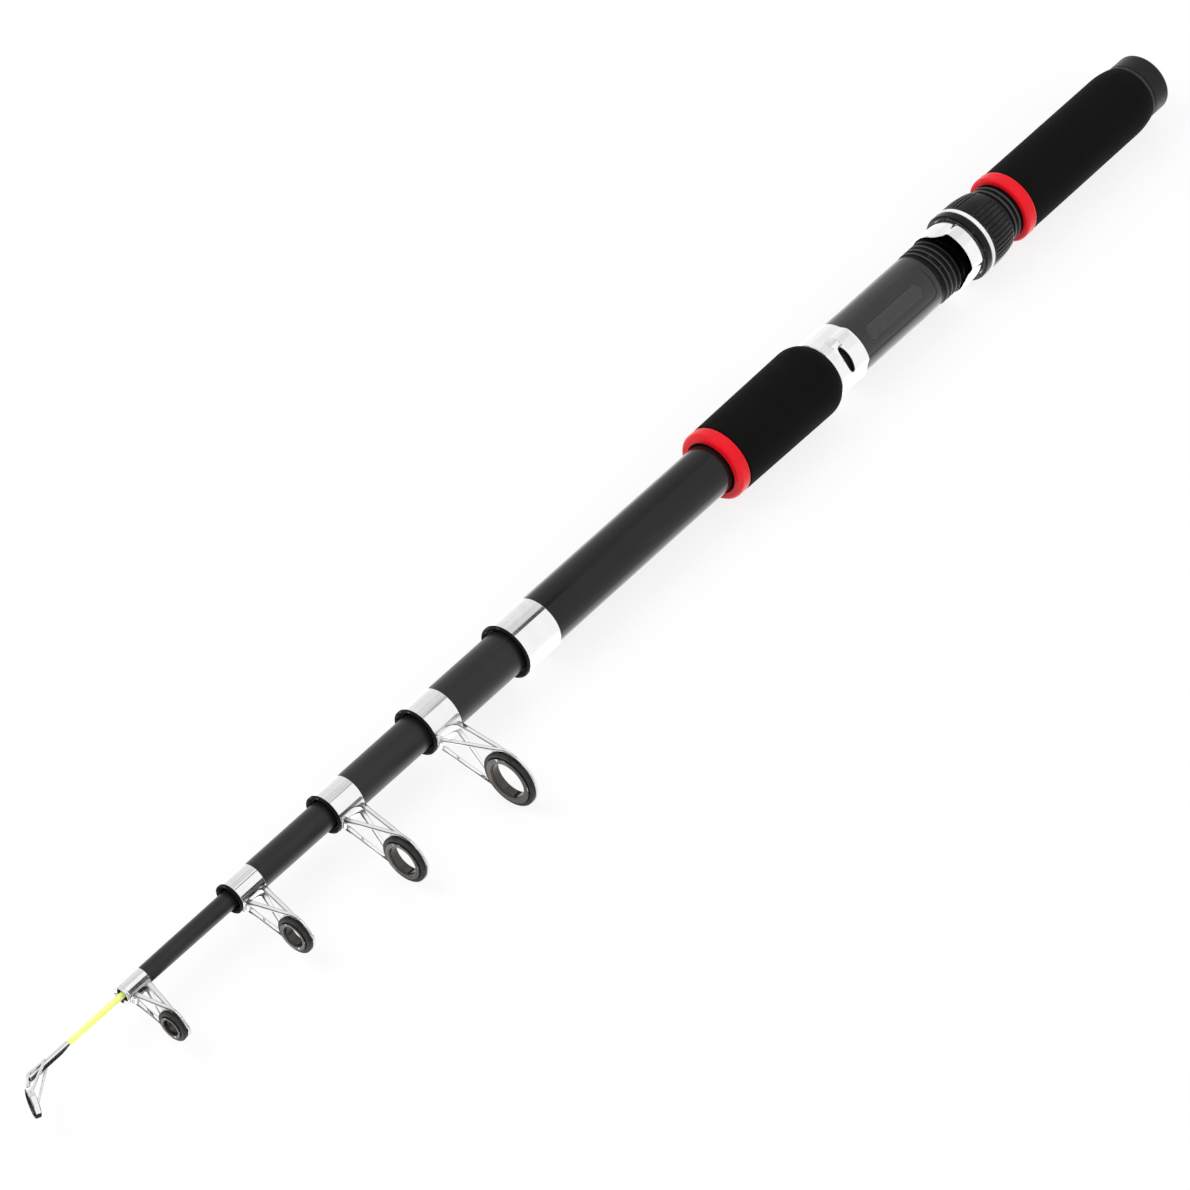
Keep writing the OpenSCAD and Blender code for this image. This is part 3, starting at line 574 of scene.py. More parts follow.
# The shock rings' pale rim lines are a painted highlight
shock_black = moulded("shock_black", (0.0045, 0.0042, 0.004), (0.008, 0.0075, 0.007), 0.35, 0.5,
    (0.16, 0.155, 0.15), level=0.2, **BROAD_EDGE_HIGHLIGHT)
pad_rubber = moulded("pad_rubber", grey(0.02), grey(0.03), 0.7, 0.85, grey(0.06), grain=0.3, level=0.3)
bush_grey = moulded("bush_grey", (0.006, 0.006, 0.0062), (0.009, 0.009, 0.0093), 0.4, 0.55, grey(0.03),
    level=0.25)
trim_pale = moulded("trim_pale", grey(0.78), grey(0.85), 0.3, 0.42, grey(0.9))
trim_red = moulded("trim_red", (0.7, 0.004, 0.012), (0.8, 0.006, 0.016), 0.3, 0.42, (0.85, 0.03, 0.04),
    level=0.16)
print("plastics made")

# %% [markdown]
# Chrome and ceramic.
# The hoods, sleeves, guide frames and tip ring are bright plated metal. Fine turned lines and faint clouds
# keep the mirror from looking perfect, and cut edges are less polished and greyer. The guide frames' edges
# are painted nearly black, as painted dark reflections that outline the strips. The liners are dark polished
# ceramic, most of the way to a metal in their shine, and their edges are painted pale as a painted
# highlight.

# %% Bright metal and ceramic


# The cut colour is wear on the chrome, a painted dark reflection on the guide frames and a painted highlight
# on the liners
def plated(name, colour, stained, smooth, dull, metal, cut, start=0.52, full=0.58, breaks=400):
    """Polished, with clouds in its colour, turned lines in its shine and another colour on its edges."""
    material, tree, shader = finish(name, colour, smooth, Metallic=metal)
    cloud = pattern(tree, clouds, Cloud_Scale=120, Grain_Scale=2600)
    line = pattern(tree, spins, Fineness=5200)
    edge = pattern(tree, edge_wear_and_light_group, Start=start, Full=full, Break_Scale=breaks)
    even = blended(tree, cloud["Clouds"], stained, colour)
    tree.links.new(blended(tree, edge["Wear"], even, cut), shader["Base Color"])
    between(tree, line["Lines"], smooth, dull, shader["Roughness"])
    embossed(tree, shader, line["Lines"], 0.05, 0.012)
    return material


BRIGHT = (0.95, 0.95, 0.955)
STAINED = (0.89, 0.89, 0.895)
chrome = plated("chrome", BRIGHT, STAINED, 0.04, 0.1, 1.0, grey(0.4))
# The guide frames' nearly black edges are painted dark reflections
frame_chrome = plated("frame_chrome", BRIGHT, STAINED, 0.04, 0.1, 1.0, grey(0.08), 0.518, 0.555, 40)
# The liners' pale edges are a painted highlight
liner_ceramic = plated("liner_ceramic", (0.085, 0.077, 0.072), (0.055, 0.049, 0.046), 0.09, 0.18, 0.8,
    (0.7, 0.68, 0.66))
print("metals", chrome.name, liner_ceramic.name)

# %% [markdown]
# Mesh helpers.
# Nearly every piece is round, so the main tool is a lathe: an outline of stations and radii turned about
# the rod. A real edge is never sharp, so the outline's corners are rounded first. Weighted normals then
# keep long faces flat in shading right up to their rounded edges.

# %% Rounded outlines


def eased(corners, radius, steps=4):
    """Rounds the corners of an outline of (station, radius). A third number is a corner's own rounding."""
    out = []
    for i, corner in enumerate(corners):
        here = Vector(corner[:2])
        own = corner[2] if len(corner) > 2 else radius
        back = Vector(corners[i - 1][:2]) - here
        ahead = Vector(corners[(i + 1) % len(corners)][:2]) - here
        half = back.angle(ahead) / 2
        if own <= 0 or half > math.radians(88):
            out.append(tuple(here))
            continue
        cut = min(own / math.tan(half), 0.48 * back.length, 0.48 * ahead.length)
        back.normalize()
        ahead.normalize()
        middle = here + (back + ahead).normalized() * (cut / math.cos(half))
        first = here + back * cut - middle
        last = here + ahead * cut - middle
        start = math.atan2(first.y, first.x)
        turn = math.atan2(last.y, last.x) - start
        turn = (turn + math.pi) % (2 * math.pi) - math.pi
        for k in range(steps + 1):
            a = start + turn * k / steps
            out.append((middle.x + first.length * math.cos(a), middle.y + first.length * math.sin(a)))
    return out


print("outlines ready")

# %% The lathe


def skinned(rings, count, looped):
    """Faces between neighbouring rings. Looped, the last ring meets the first. If not, both ends close."""
    faces = []
    for i in range(rings if looped else rings - 1):
        k = (i + 1) % rings
        for j in range(count):
            m = (j + 1) % count
            faces.append((i * count + j, i * count + m, k * count + m, k * count + j))
    if not looped:
        faces.append(tuple(range(count - 1, -1, -1)))
        faces.append(tuple(range((rings - 1) * count, rings * count)))
    return faces


def angles(count, first=0.0):
    """Evenly spaced directions round the rod, in radians."""
    return [2 * math.pi * i / count + first for i in range(count)]


def turned(outline, segments=96):
    """Points and faces of a closed outline turned about the rod."""
    points = [around(x, r, a) for a in angles(segments) for x, r in outline]
    return points, skinned(segments, len(outline), True)


def moved(shape, place):
    """The same shape put somewhere else by a matrix."""
    return [tuple(place @ Vector(p)) for p in shape[0]], shape[1]


def joined(*shapes):
    """Several shapes as one list of points and faces."""
    points, faces = [], []
    for more, corners in shapes:
        start = len(points)
        points += more
        faces += [tuple(start + i for i in face) for face in corners]
    return points, faces


def facing(turn):
    """A turn about the rod by an angle in degrees, from straight up."""
    return Matrix.Rotation(-math.radians(turn), 4, "X")


print("lathe ready")

# %% [markdown]
# Pieces and bodies.
# Points and faces are no object yet. One helper cleans the mesh, marks its sharp edges, gives it a finish,
# fixes it to the body it moves with and hides the solid of the imported model that it stands for. Every
# piece goes through it, so nothing is left behind when the rod is drawn out.

# %% Make a piece and fix it to its body


def even_shading(made):
    """Keeps long faces flat in shading up to their rounded edges."""
    even = made.modifiers.new("even_shading", "WEIGHTED_NORMAL")
    even.keep_sharp = True


def piece(name, shape, body, replaced, material, crease=38):
    """A finished object from a shape in millimetres, riding a body in place of a CAD node."""
    mesh = bpy.data.meshes.new(name)
    mesh.from_pydata([Vector(p) * MM for p in shape[0]], [], shape[1])
    work = bmesh.new()
    work.from_mesh(mesh)
    bmesh.ops.remove_doubles(work, verts=work.verts, dist=1e-7)
    bmesh.ops.recalc_face_normals(work, faces=work.faces)
    work.to_mesh(mesh)
    work.free()
    mesh.shade_smooth()
    mesh.set_sharp_from_angle(angle=math.radians(crease))
    made = bpy.data.objects.new(name, mesh)
    scene.collection.objects.link(made)
    mesh.materials.append(material)
    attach(made, body)
    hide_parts(replaced)
    even_shading(made)
    return made


def reach(node):
    """Back end, front end and largest radius of a round node, in millimetres."""
    low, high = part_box(node)
    return low.x / MM, high.x / MM, (high.z - low.z) / 2 / MM


def sleeve(name, body, node, inner, rounding, segments):
    """A chromed round sleeve with rounded edges in the place of a node."""
    back, front, outer = reach(node)
    outline = eased([(back, inner), (back, outer), (front, outer), (front, inner)], rounding)
    piece(name, turned(outline, segments), body, node, chrome)


print("pieces ready")

# %% [markdown]
# Handle grips.
# Each grip is one length of foam, ground on a lathe. Its narrow end is an arc that runs level into the
# straight stretch. The trim rings are cast, with full round edges.

# %% Foam grips and red rings
BLANK_R = 10.1
FIT = 0.03
BORE = BLANK_R + FIT


def nose(from_r, to_r, x, length, steps=14):
    """Arc from one radius at a station, running level into a larger one."""
    rise = to_r - from_r
    big = (length ** 2 + rise ** 2) / (2 * rise)
    lean = math.asin(length / big)
    leans = [-lean * (1 - i / steps) for i in range(steps + 1)]
    return [(x + length + big * math.sin(a), to_r - big + big * math.cos(a)) for a in leans]


def grip(node, ring, narrow, nose_len, end_r, step_r):
    """A foam grip with the red ring on the step at its front end."""
    back, front, wide = reach(node)
    ring_back, ring_front, ring_r = reach(ring)
    tail = eased([(ring_back, end_r, 0.7), (ring_back, step_r, 0), (front, step_r, 0.2), (front, BORE, 0),
        (back, BORE, 0), (back + nose_len, wide, 0)], 0)[:-2]
    foam = turned([(back, BORE)] + nose(narrow, wide, back, nose_len) + tail)
    foam = piece(node + "_foam", foam, "handle", node, grip_foam)
    bore = step_r + FIT
    outline = eased([(ring_back, bore, 0), (ring_back, ring_r, 1), (ring_front, ring_r, 2.1),
        (ring_front, bore, 0.3)], 0.2, 10)
    piece(ring + "_red", turned(outline, 128), "handle", ring, trim_red)
    print(node, round(front - back, 1), "mm long")


grip("rear_grip", "rear_trim_ring", 12.5, 9.3, 13.8, BORE + 1.4)
grip("foregrip", "front_trim_ring", 12.18, 7, 14.2, BORE + 0.6)

# %% [markdown]
# Butt cap.
# The cap unscrews so that the sections slide out at the back. It is a low knob with a rounded rim and a
# fine grip milled round its side. Its spigot is a lathe shape with a ridge wound round it, because a thread
# is a helix and no lathe can turn one. The ridge starts and ends low, as a moulded thread does.

# %% Wind a thread


def wound_ridge(start, lead, turns, core, crest):
    """A closed ridge wound about the rod from a station, with its foot sunk into a core."""
    steps = 48
    run_out = 16
    last = turns * steps
    points = []
    for i in range(last + 1):
        a = 2 * math.pi * i / steps
        x = start + lead * i / steps
        high = core + (crest - core) * min(1.0, i / run_out, (last - i) / run_out)
        profile = ((-0.3, core - 0.3), (-0.12, high), (0.12, high), (0.3, core - 0.3))
        points += [(x + lead * half, r * math.sin(a), -r * math.cos(a)) for half, r in profile]
    return points, skinned(last + 1, len(profile), False)


print("thread ready")

# %% Cap, bush and pad
SPIGOT_R = 6.2
CREST_R = 6.78
CAP_LEAD = 2.0
CAP_RIBS = 60
CAP_RIB_DEPTH = 0.22
STEM_R = 3.0
STEM_HOLE = 3.3
STEM_LEN = 4
back, front, wide = reach("butt_cap")
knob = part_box("rear_grip")[0].x / MM - 1.9
outline = eased([(back + 0.5, 0, 0), (back + 0.5, 8.4, 0.6), (back, 9.0, 0.4), (back, wide, 3.4),
    (knob, wide, 0.5), (knob, SPIGOT_R, 0.2), (front, SPIGOT_R, 0.4), (front, STEM_HOLE, 0.2),
    (front - STEM_LEN, STEM_HOLE, 0), (front - STEM_LEN, 0, 0)], 0.3, 6)
points, faces = turned(outline, 240)
milled = []
for x, y, z in points:
    a = math.atan2(y, z)
    r = math.hypot(y, z)
    on_side = max(0.0, min(1.0, (x - back - 2.6) / 1.2)) * max(0.0, min(1.0, (knob - 0.7 - x) / 0.8))
    cut = CAP_RIB_DEPTH * on_side * (0.5 + 0.5 * math.cos(CAP_RIBS * a)) if r > wide - 0.3 else 0.0
    milled.append(around(x, r - cut, a))
thread = wound_ridge(knob + CAP_LEAD, CAP_LEAD, 4, SPIGOT_R, CREST_R)
piece("butt_cap_knob", joined((milled, faces), thread), "cap", "butt_cap", cap_plastic)
back, front, wide = reach("cap_pad")
head = front - 3
outline = eased([(back, 0, 0), (back, STEM_R, 0.4), (head, STEM_R, 0.2), (head, wide, 0.4),
    (front - 0.35, wide, 0.5), (front, wide * 0.55, 1.5), (front, 0, 0)], 0.3, 5)
piece("cap_pad_rubber", turned(outline, 64), "pad", "cap_pad", pad_rubber)
nodes["cap_bush"].data.materials.clear()
nodes["cap_bush"].data.materials.append(bush_grey)
print("cap made, bush kept from the model")

# %% [markdown]
# Reel seat.
# The seat is one moulding: a ridged collar, a thread for the nut, a plain barrel with a shallow panel, and
# a flat pad for the reel's foot. A lathe can't make a thread or a panel, so this surface is a grid over
# station and angle whose radius is worked out at every point.

# %% Radius of the reel seat
REEL_TURN = 40
SEAT_R = 11.55
ROOT_R = 11.1
PITCH = 2.6
COLLAR_R = 11.9
COLLAR_LEN = 6.9
THREAD_LEN = 44.6
PANEL_HALF = 7.4
PANEL_CORNER = 3.0
PANEL_INSET = 2.5
seat_back, seat_front, _ = reach("reel_seat")
thread_back = seat_back + COLLAR_LEN
thread_front = thread_back + THREAD_LEN
collar_ridges = [seat_back + COLLAR_LEN * 0.32, seat_back + COLLAR_LEN * 0.675]


def smooth(value, low, high):
    """Rises softly from 0 to 1 between two values."""
    t = max(0.0, min(1.0, (value - low) / (high - low)))
    return t * t * (3 - 2 * t)


def away(a, turn):
    """Angle in degrees from a turn about the rod to a direction in radians, between -180 and 180."""
    return (math.degrees(a) - turn + 180) % 360 - 180


def seat_radius(x, a):
    """Radius of the seat at a station and an angle from straight up."""
    if x <= thread_back:
        near = min(abs(x - ridge) for ridge in collar_ridges)
        return ROOT_R + (COLLAR_R - ROOT_R) * (1 - smooth(near, 0.35, 0.75))
    if x < thread_front:
        phase = ((x - thread_back - PITCH / 2) / PITCH - (math.pi - a) / (2 * math.pi)) % 1.0
        off = min(phase, 1 - phase) * PITCH
        ends = smooth(x, thread_back + 0.6, thread_back + 2.0) * smooth(thread_front - x, 0.8, 2.6)
        step = (SEAT_R - ROOT_R) * smooth(x, thread_front - 0.5, thread_front - 0.05)
        dip = 0.25 * ends * smooth(off, 0.85, 1.2)
        return ROOT_R - dip + max(step, 0.65 * ends * (1 - smooth(off, 0.3, 0.8)))
    side = abs(away(a, REEL_TURN)) * math.pi / 180 * SEAT_R
    corner = max(0.0, side - PANEL_HALF + PANEL_CORNER)
    rounding = PANEL_CORNER - math.sqrt(max(0.0, PANEL_CORNER ** 2 - corner ** 2))
    rim = thread_front + PANEL_INSET + rounding
    depth = smooth(x, rim - 0.2, rim + 0.25) * (1 - smooth(side, PANEL_HALF - 0.25, PANEL_HALF + 0.2))
    edge = smooth(x, rim - 0.45, rim - 0.1) * (1 - smooth(side, PANEL_HALF, PANEL_HALF + 0.4))
    return SEAT_R - 0.25 * depth - 0.35 * max(0.0, edge - depth)


print("thread from", round(thread_back, 1), "to", round(thread_front, 1))

# %% Surface of the reel seat


def grid(rows, columns, radius, inner):
    """A closed surface over stations and angles, with a bore of (station, radius) from front to back."""
    points = [around(x, radius(x, a), a) for x in rows for a in columns]
    points += [around(x, r, a) for x, r in inner for a in columns]
    return points, skinned(len(rows) + len(inner), len(columns), True)


def steps_from(low, high, step):
    """Evenly spaced stations."""
    count = max(1, round((high - low) / step))
    return [low + (high - low) * i / count for i in range(count)]


columns = angles(240)
thread_end = thread_front - 0.02
panel_end = thread_front + 6.4
rows = steps_from(seat_back, thread_back, 0.13) + steps_from(thread_back, thread_end, 0.2) + [thread_end]
thread = grid(rows, columns, seat_radius, [(thread_end, BORE), (seat_back, BORE)])
rows = steps_from(thread_front, panel_end, 0.2) + steps_from(panel_end, seat_front, 4) + [seat_front]
barrel = grid(rows, columns, seat_radius, [(seat_front, BORE), (thread_front, BORE)])
print("seat grid", len(rows), "by", len(columns))

# %% [markdown]
# Thread with painted light.
# The nut runs on this thread. Its plastic is a darker, duller copy of the seat's, so that its grooves show
# as painted shade, and its crests are painted paler as a painted highlight. The crests are found by their
# distance from the rod's axis. The hood rests over the rear half, where the thread is painted near black
# with no shine, as a painted shadow under the hood.

# %% Painted highlight on the thread's crests and painted shadow under the hood
# Stations in millimetres where the painted shadow under the hood fades in and out
HOOD_SHADE_BACK = (66, 68)
HOOD_SHADE_FRONT = (84, 79.5)
tree = thread_plastic_painted_light.node_tree
flat = add(tree, "ShaderNodeVectorMath", operation="MULTIPLY")
plug(tree, own_place(tree), flat.inputs[0])
plug(tree, (0, 1, 1), flat.inputs[1])
far_out = add(tree, "ShaderNodeVectorMath", operation="LENGTH")
plug(tree, flat.outputs["Vector"], far_out.inputs[0])
crest = ranged(tree, far_out.outputs["Value"], From_Min=(ROOT_R + 0.5) * MM, From_Max=(ROOT_R + 0.63) * MM)
# Painted highlight: the crests are painted paler
recolour(thread_plastic_painted_light, crest, (0.045, 0.045, 0.047))
# Painted shadow under the hood: near black, and Metallic takes away its shine
painted_hood_shade = worked(tree, "MINIMUM", station_mask(tree, *HOOD_SHADE_BACK), station_mask(tree, *HOOD_SHADE_FRONT))
shader = recolour(thread_plastic_painted_light, painted_hood_shade, grey(0.0012))
tree.links.new(painted_hood_shade, shader["Metallic"])
print("thread finish", thread_plastic_painted_light.name)

# %% [markdown]
# Foot pad.
# The reel's foot stands on a flat pad with round ends, moulded on the barrel. A bevelled box would have
# square ends, so the pad is a stack of four outlines, of which the upper ones shrink to ease the edge.

# %% Pad for the reel's foot
PAD_HALF = 3.0
PAD_LEN = 32.5
PAD_LOW = 10.9
PAD_TOP = 11.9
PAD_EASE = 0.9


def plate(outline, low, high, ease):
    """A flat plate over an outline with round ends, with an eased upper edge."""
    cx = sum(p[0] for p in outline) / len(outline)
    layers = [(low, 0.0), (high - 0.6 * ease, 0.0), (high - 0.08 * ease, 0.8 * ease), (high, 1.1 * ease)]
    points = []
    for z, shrink in layers:
        for x, y in outline:
            slope = math.sqrt(max(0.0, 1 - (y / PAD_HALF) ** 2)) * math.copysign(1, x - cx)
            points.append((x - shrink * slope, y * (1 - 0.05 * shrink), z))
    return points, skinned(len(layers), len(outline), False)


pad_back = thread_front + 8.45
pad_front = pad_back + PAD_LEN
outline = []
for middle, first in ((pad_front - PAD_HALF, -90), (pad_back + PAD_HALF, 90)):
    bend = [math.radians(first + 15 * i) for i in range(13)]
    outline += [(middle + PAD_HALF * math.cos(t), PAD_HALF * math.sin(t)) for t in bend]
foot_pad = moved(plate(outline, PAD_LOW, PAD_TOP, PAD_EASE), facing(REEL_TURN))
piece("reel_seat_thread", thread, "handle", "reel_seat", thread_plastic_painted_light, 50)
piece("reel_seat_barrel", barrel, "handle", "reel_seat", seat_plastic, 50)
piece("reel_seat_pad", foot_pad, "handle", "reel_seat", seat_pad, 50)
print("reel seat made")

# %% [markdown]
# Hoods.
# A hood is a stamped band of plated metal with a pocket pressed outwards, which holds one end of the reel's
# foot. Stamped metal has one thickness everywhere, so only the outer skin is drawn, and a Solidify modifier
# gives it its thickness. A small bevel rounds the cut edges.

# %% Hood skins
HOOD_SHEET = 0.6
CUT_EDGE = 0.13


def skin(name, shape, body, node):
    """A sheet metal piece from its outer skin."""
    made = piece(name, shape, body, node, chrome, 60)
    made.modifiers.clear()
    metal = made.modifiers.new("sheet_thickness", "SOLIDIFY")
    metal.thickness = HOOD_SHEET * MM
    metal.offset = -1
    metal.use_even_offset = True
    edge = made.modifiers.new("cut_edges", "BEVEL")
    edge.width = CUT_EDGE * MM
    edge.segments = 2
    edge.limit_method = "ANGLE"
    edge.angle_limit = math.radians(55)
    even_shading(made)


def band(rows, columns, skipped=lambda x, a: False):
    """Open skin over rows of (station at angle, radius at angle), without faces whose middle is skipped."""
    points = [around(station(a), radius(a), a) for station, radius in rows for a in columns]
    faces = []
    n = len(columns)
    for i in range(len(rows) - 1):
        for j in range(n):
            m = (j + 1) % n
            x = (points[i * n + j][0] + points[(i + 1) * n + j][0]) / 2
            if not skipped(x, columns[j] + math.pi / n):
                faces.append((i * n + j, (i + 1) * n + j, (i + 1) * n + m, i * n + m))
    return points, faces


print("hood skins ready")

# %% Fixed hood
HOOD_HALF = 39
HOOD_R = 12.18
POCKET_R = 13.75
WINDOW_HALF = 1.15
WINDOW_SPAN = 25
WINDOW_TURN = REEL_TURN + 7
columns = angles(360, math.radians(REEL_TURN))
hood_back, hood_front, _ = reach("fixed_hood")
window_x = hood_back + 8.8


def over_pocket(a):
    """1 over the pocket's width and 0 outside it, with soft flanks."""
    return 1 - smooth(abs(away(a, REEL_TURN)), HOOD_HALF - 12, HOOD_HALF + 8)


def fixed_row(x):
    """One row of the fixed hood's skin."""
    fall = 1 - smooth(x, window_x - 1.0, window_x + 1.2)
    flare = 0.18 * (1 - smooth(x, hood_back, hood_back + 0.7))
    lift = (POCKET_R - HOOD_R - 0.1) * fall + flare * 0.5
    return (lambda a: x), (lambda a: HOOD_R + lift * over_pocket(a))


def window_half(a):
    """Half width of the slot that is left where the pocket was pressed out, narrow at both ends."""
    return WINDOW_HALF * math.sqrt(max(0.0, 1 - (away(a, WINDOW_TURN) / WINDOW_SPAN) ** 2)) + 0.01


def window_row(side):
    """A row of the skin along one edge of the slot."""
    def station(a):
        return window_x + side * window_half(a)

    def radius(a):
        return fixed_row(station(a))[1](a)

    return station, radius


def in_window(x, a):
    """True between the two edges of the slot."""
    return abs(x - window_x) < 0.05 and window_half(a) > 0.06


rows = [fixed_row(x) for x in steps_from(hood_back, window_x - 1.3, 0.4)] + [window_row(-1), window_row(1)]
rows += [fixed_row(x) for x in steps_from(window_x + 1.3, hood_front, 0.8)] + [fixed_row(hood_front)]
skin("fixed_hood_shell", band(rows, columns, in_window), "handle", "fixed_hood")
print("fixed hood made")

# %% [markdown]
# Sliding hood.
# The nut pushes this hood over one end of the reel's foot. Its flange sits in a groove inside the nut, and
# its front edge is set back over the pocket, so that the foot can enter. It is a skin like the fixed
# hood's, with rows that follow the front edge.

# %% Sliding hood
BAND_R = 12.65
FLANGE_R = 13.25
FLANGE_T = 0.9
nut_back, nut_front, _ = reach("locking_nut")
slide_back, slide_front, _ = reach("sliding_hood")


def mouth(a):
    """Front edge of the sliding hood: set back over the pocket's mouth."""
    set_back = slide_front - nut_front - 7.5
    return slide_front - set_back * (1 - smooth(abs(away(a, REEL_TURN)), 38, 58))


def slide_row(share):
    """One row of the sliding hood's skin, by its share of the way to the front edge."""
    start = nut_front + 0.05

    def station(a):
        return start + (mouth(a) - start) * share

    def radius(a):
        rise = smooth(station(a), start - 0.1, start + 1.2)
        fold = 1 - smooth(abs(away(a, REEL_TURN)), HOOD_HALF - 4, HOOD_HALF + 8)
        return BAND_R + (POCKET_R - 0.05 - BAND_R) * fold * rise

    return station, radius


def plain_row(x):
    """A row of the band inside the nut."""
    return (lambda a: x), (lambda a: BAND_R)


rows = [plain_row(slide_back + 0.95), plain_row(nut_front - 0.1)]
rows += [slide_row(i / 16) for i in range(17)]
skin("sliding_hood_shell", band(rows, columns), "hood", "sliding_hood")
inner = BAND_R - HOOD_SHEET
flange = slide_back + FLANGE_T
outline = eased([(slide_back, inner), (slide_back, FLANGE_R), (flange, FLANGE_R), (flange, inner)], 0.15)
piece("sliding_hood_flange", turned(outline), "hood", "sliding_hood", chrome)
print("sliding hood made")

# %% [markdown]
# Locking nut.
# The nut is turned by hand, so it has ribs along its tapered side. A pale ring sits in a groove behind its
# smooth front lip. The ribs are again a radius over station and angle.

# %% Locking nut and its ring
NUT_R = 14.35
NUT_LIP_R = 14.4
GROOVE_R = 13.7
NUT_RIBS = 45
RIB_GROUP = 15
RIB_PLAIN = 3
RIB_TURN = math.radians(-14)
NUT_RIB_DEPTH = 0.5
trim_back, trim_front, trim_r = reach("nut_trim_ring")
dome = nose(13.0, NUT_R, nut_back, 10)


def nut_radius(x, a):
    """Radius of the nut with its ribs, ring groove and rounded ends."""
    if x > trim_front + 0.02:
        base = NUT_LIP_R - 0.9 * (1 - math.sqrt(max(0.0, 1 - smooth(x, nut_front - 1.1, nut_front) ** 2)))
        return base - 0.25 * (1 - smooth(x, trim_front + 0.02, trim_front + 0.35))
    if x > trim_back - 0.02:
        return GROOVE_R
    base = NUT_R
    for (x1, r1), (x2, r2) in zip(dome, dome[1:]):
        if x1 <= x < x2:
            base = r1 + (r2 - r1) * (x - x1) / (x2 - x1)
    base -= 0.35 * (1 - smooth(x, nut_back - 0.1, nut_back + 0.5))
    base -= 0.2 * smooth(x, trim_back - 0.5, trim_back - 0.02)
    turn = (a - RIB_TURN) * NUT_RIBS / (2 * math.pi) + 0.5
    groove = 1 - smooth(abs(turn % 1.0 - 0.5) * 2, 0.2, 0.65)
    if math.floor(turn) % NUT_RIBS % RIB_GROUP < RIB_PLAIN:
        groove = 0.0
    along = smooth(x, nut_back + 0.9, nut_back + 2.4) * smooth(trim_back - x, 0.6, 1.5)
    return base - NUT_RIB_DEPTH * groove * along


rows = steps_from(nut_back, nut_back + 3.2, 0.2) + steps_from(nut_back + 3.2, trim_back - 2, 0.8)
rows += steps_from(trim_back - 2, trim_back - 0.03, 0.2) + [trim_back - 0.03, trim_back - 0.01]
rows += [trim_front + 0.01, trim_front + 0.03] + steps_from(trim_front + 0.1, trim_front + 0.4, 0.1)
rows += steps_from(trim_front + 0.4, nut_front - 1.2, 1.2) + steps_from(nut_front - 1.2, nut_front, 0.12)
rows.append(nut_front)
bore = [(nut_front, 12.95), (nut_front - 1.2, 12.95), (nut_front - 1.2, 13.55), (slide_back - 0.3, 13.55),
    (slide_back - 0.3, 12.3), (nut_back + 9.5, 12.3), (nut_back + 9.5, 11.8), (nut_back, 11.8)]
shell = grid(rows, angles(450), nut_radius, bore)
piece("locking_nut_body", shell, "nut", "locking_nut", nut_plastic, 50)
trim_in = GROOVE_R + FIT
outline = eased([(trim_back, trim_in, 0), (trim_back, trim_r, 0.5), (trim_front, trim_r, 0.5),
    (trim_front, trim_in, 0)], 0, 6)
piece("nut_trim_ring_pale", turned(outline, 128), "nut", "nut_trim_ring", trim_pale)
print("nut made with", NUT_RIBS, "ribs")

# %% [markdown]
# Tubes, sleeves and lips.
# Each section is a tapered tube with a cone at its back that jams in the mouth behind it when it is drawn
# out. Chromed sleeves keep the mouths from splitting, and a lip ring with a hollow face finishes each
# mouth.

# %% Tubes
# Radii of each drawn section: back end, in front of its cone, front end, bore at the mouth
SECTION = {
    2: (8.88, 8.7, 8.6, 7.55),
    3: (7.68, 7.5, 6.9, 6.0),
    4: (6.13, 5.95, 5.35, 4.5),
    5: (4.63, 4.45, 3.25, 2.3),
}
JAM_CONE = 30
MOUTH_CONE = 45
MOUTH_DROP = 0.27
HANDLE_BORE = 9.02
back, front, _ = reach("butt_blank")
outline = eased([(back, HANDLE_BORE, 0), (back, BLANK_R, 0.2), (front, BLANK_R, 0.1),
    (front, HANDLE_BORE - MOUTH_DROP, 0), (front - MOUTH_CONE, HANDLE_BORE, 0)], 0)
piece("handle_tube", turned(outline, 128), "handle", "butt_blank", lacquer_black)
for k, (rear, start, end, bore) in SECTION.items():
    back, front, _ = reach(f"tube_{k}")
    seat = reach(f"ferrule_{k}")[0]
    wide_bore = bore + MOUTH_DROP
    rear_bore = wide_bore + (start - end) / 2
    outline = eased([(back, rear_bore, 0), (back, rear, 0.15), (back + JAM_CONE, start, 0), (seat, end, 0),
        (front, end, 0.05), (front, bore, 0), (front - MOUTH_CONE, wide_bore, 0)], 0)
    piece(f"section_tube_{k}", turned(outline), f"section_{k}", f"tube_{k}", tube_charcoal)
print("tubes made")

# %% Sleeves and lips
# Radius of the hole in each lip
HOLE = {1: 9.0, 2: 7.8, 3: 6.25, 4: 4.75, 5: 2.55}
mouths = [(1, "handle_ferrule", "handle_lip", "handle", BLANK_R)]
mouths += [(k, f"ferrule_{k}", f"lip_{k}", f"section_{k}", SECTION[k][2]) for k in SECTION]
for k, ferrule, lip, body, inner in mouths:
    sleeve(f"mouth_sleeve_{k}", body, ferrule, inner + FIT, 0.12, 128)
    lip_slot, lip_finish = ("chrome", chrome) if k == 5 else ("lip_plastic", lip_plastic)
    back, front, wide = reach(lip)
    rim = min(0.6, 0.4 * (wide - HOLE[k]))
    outline = eased([(back, HOLE[k], 0), (back, wide, 0.15), (front, wide, 0.3), (front, wide - rim, 0.1),
        (front - 0.8, HOLE[k], 0.1)], 0.1)
    piece(f"mouth_lip_{k}", turned(outline, 128), body, lip, lip_finish)
print("sleeves and lips", len(mouths))

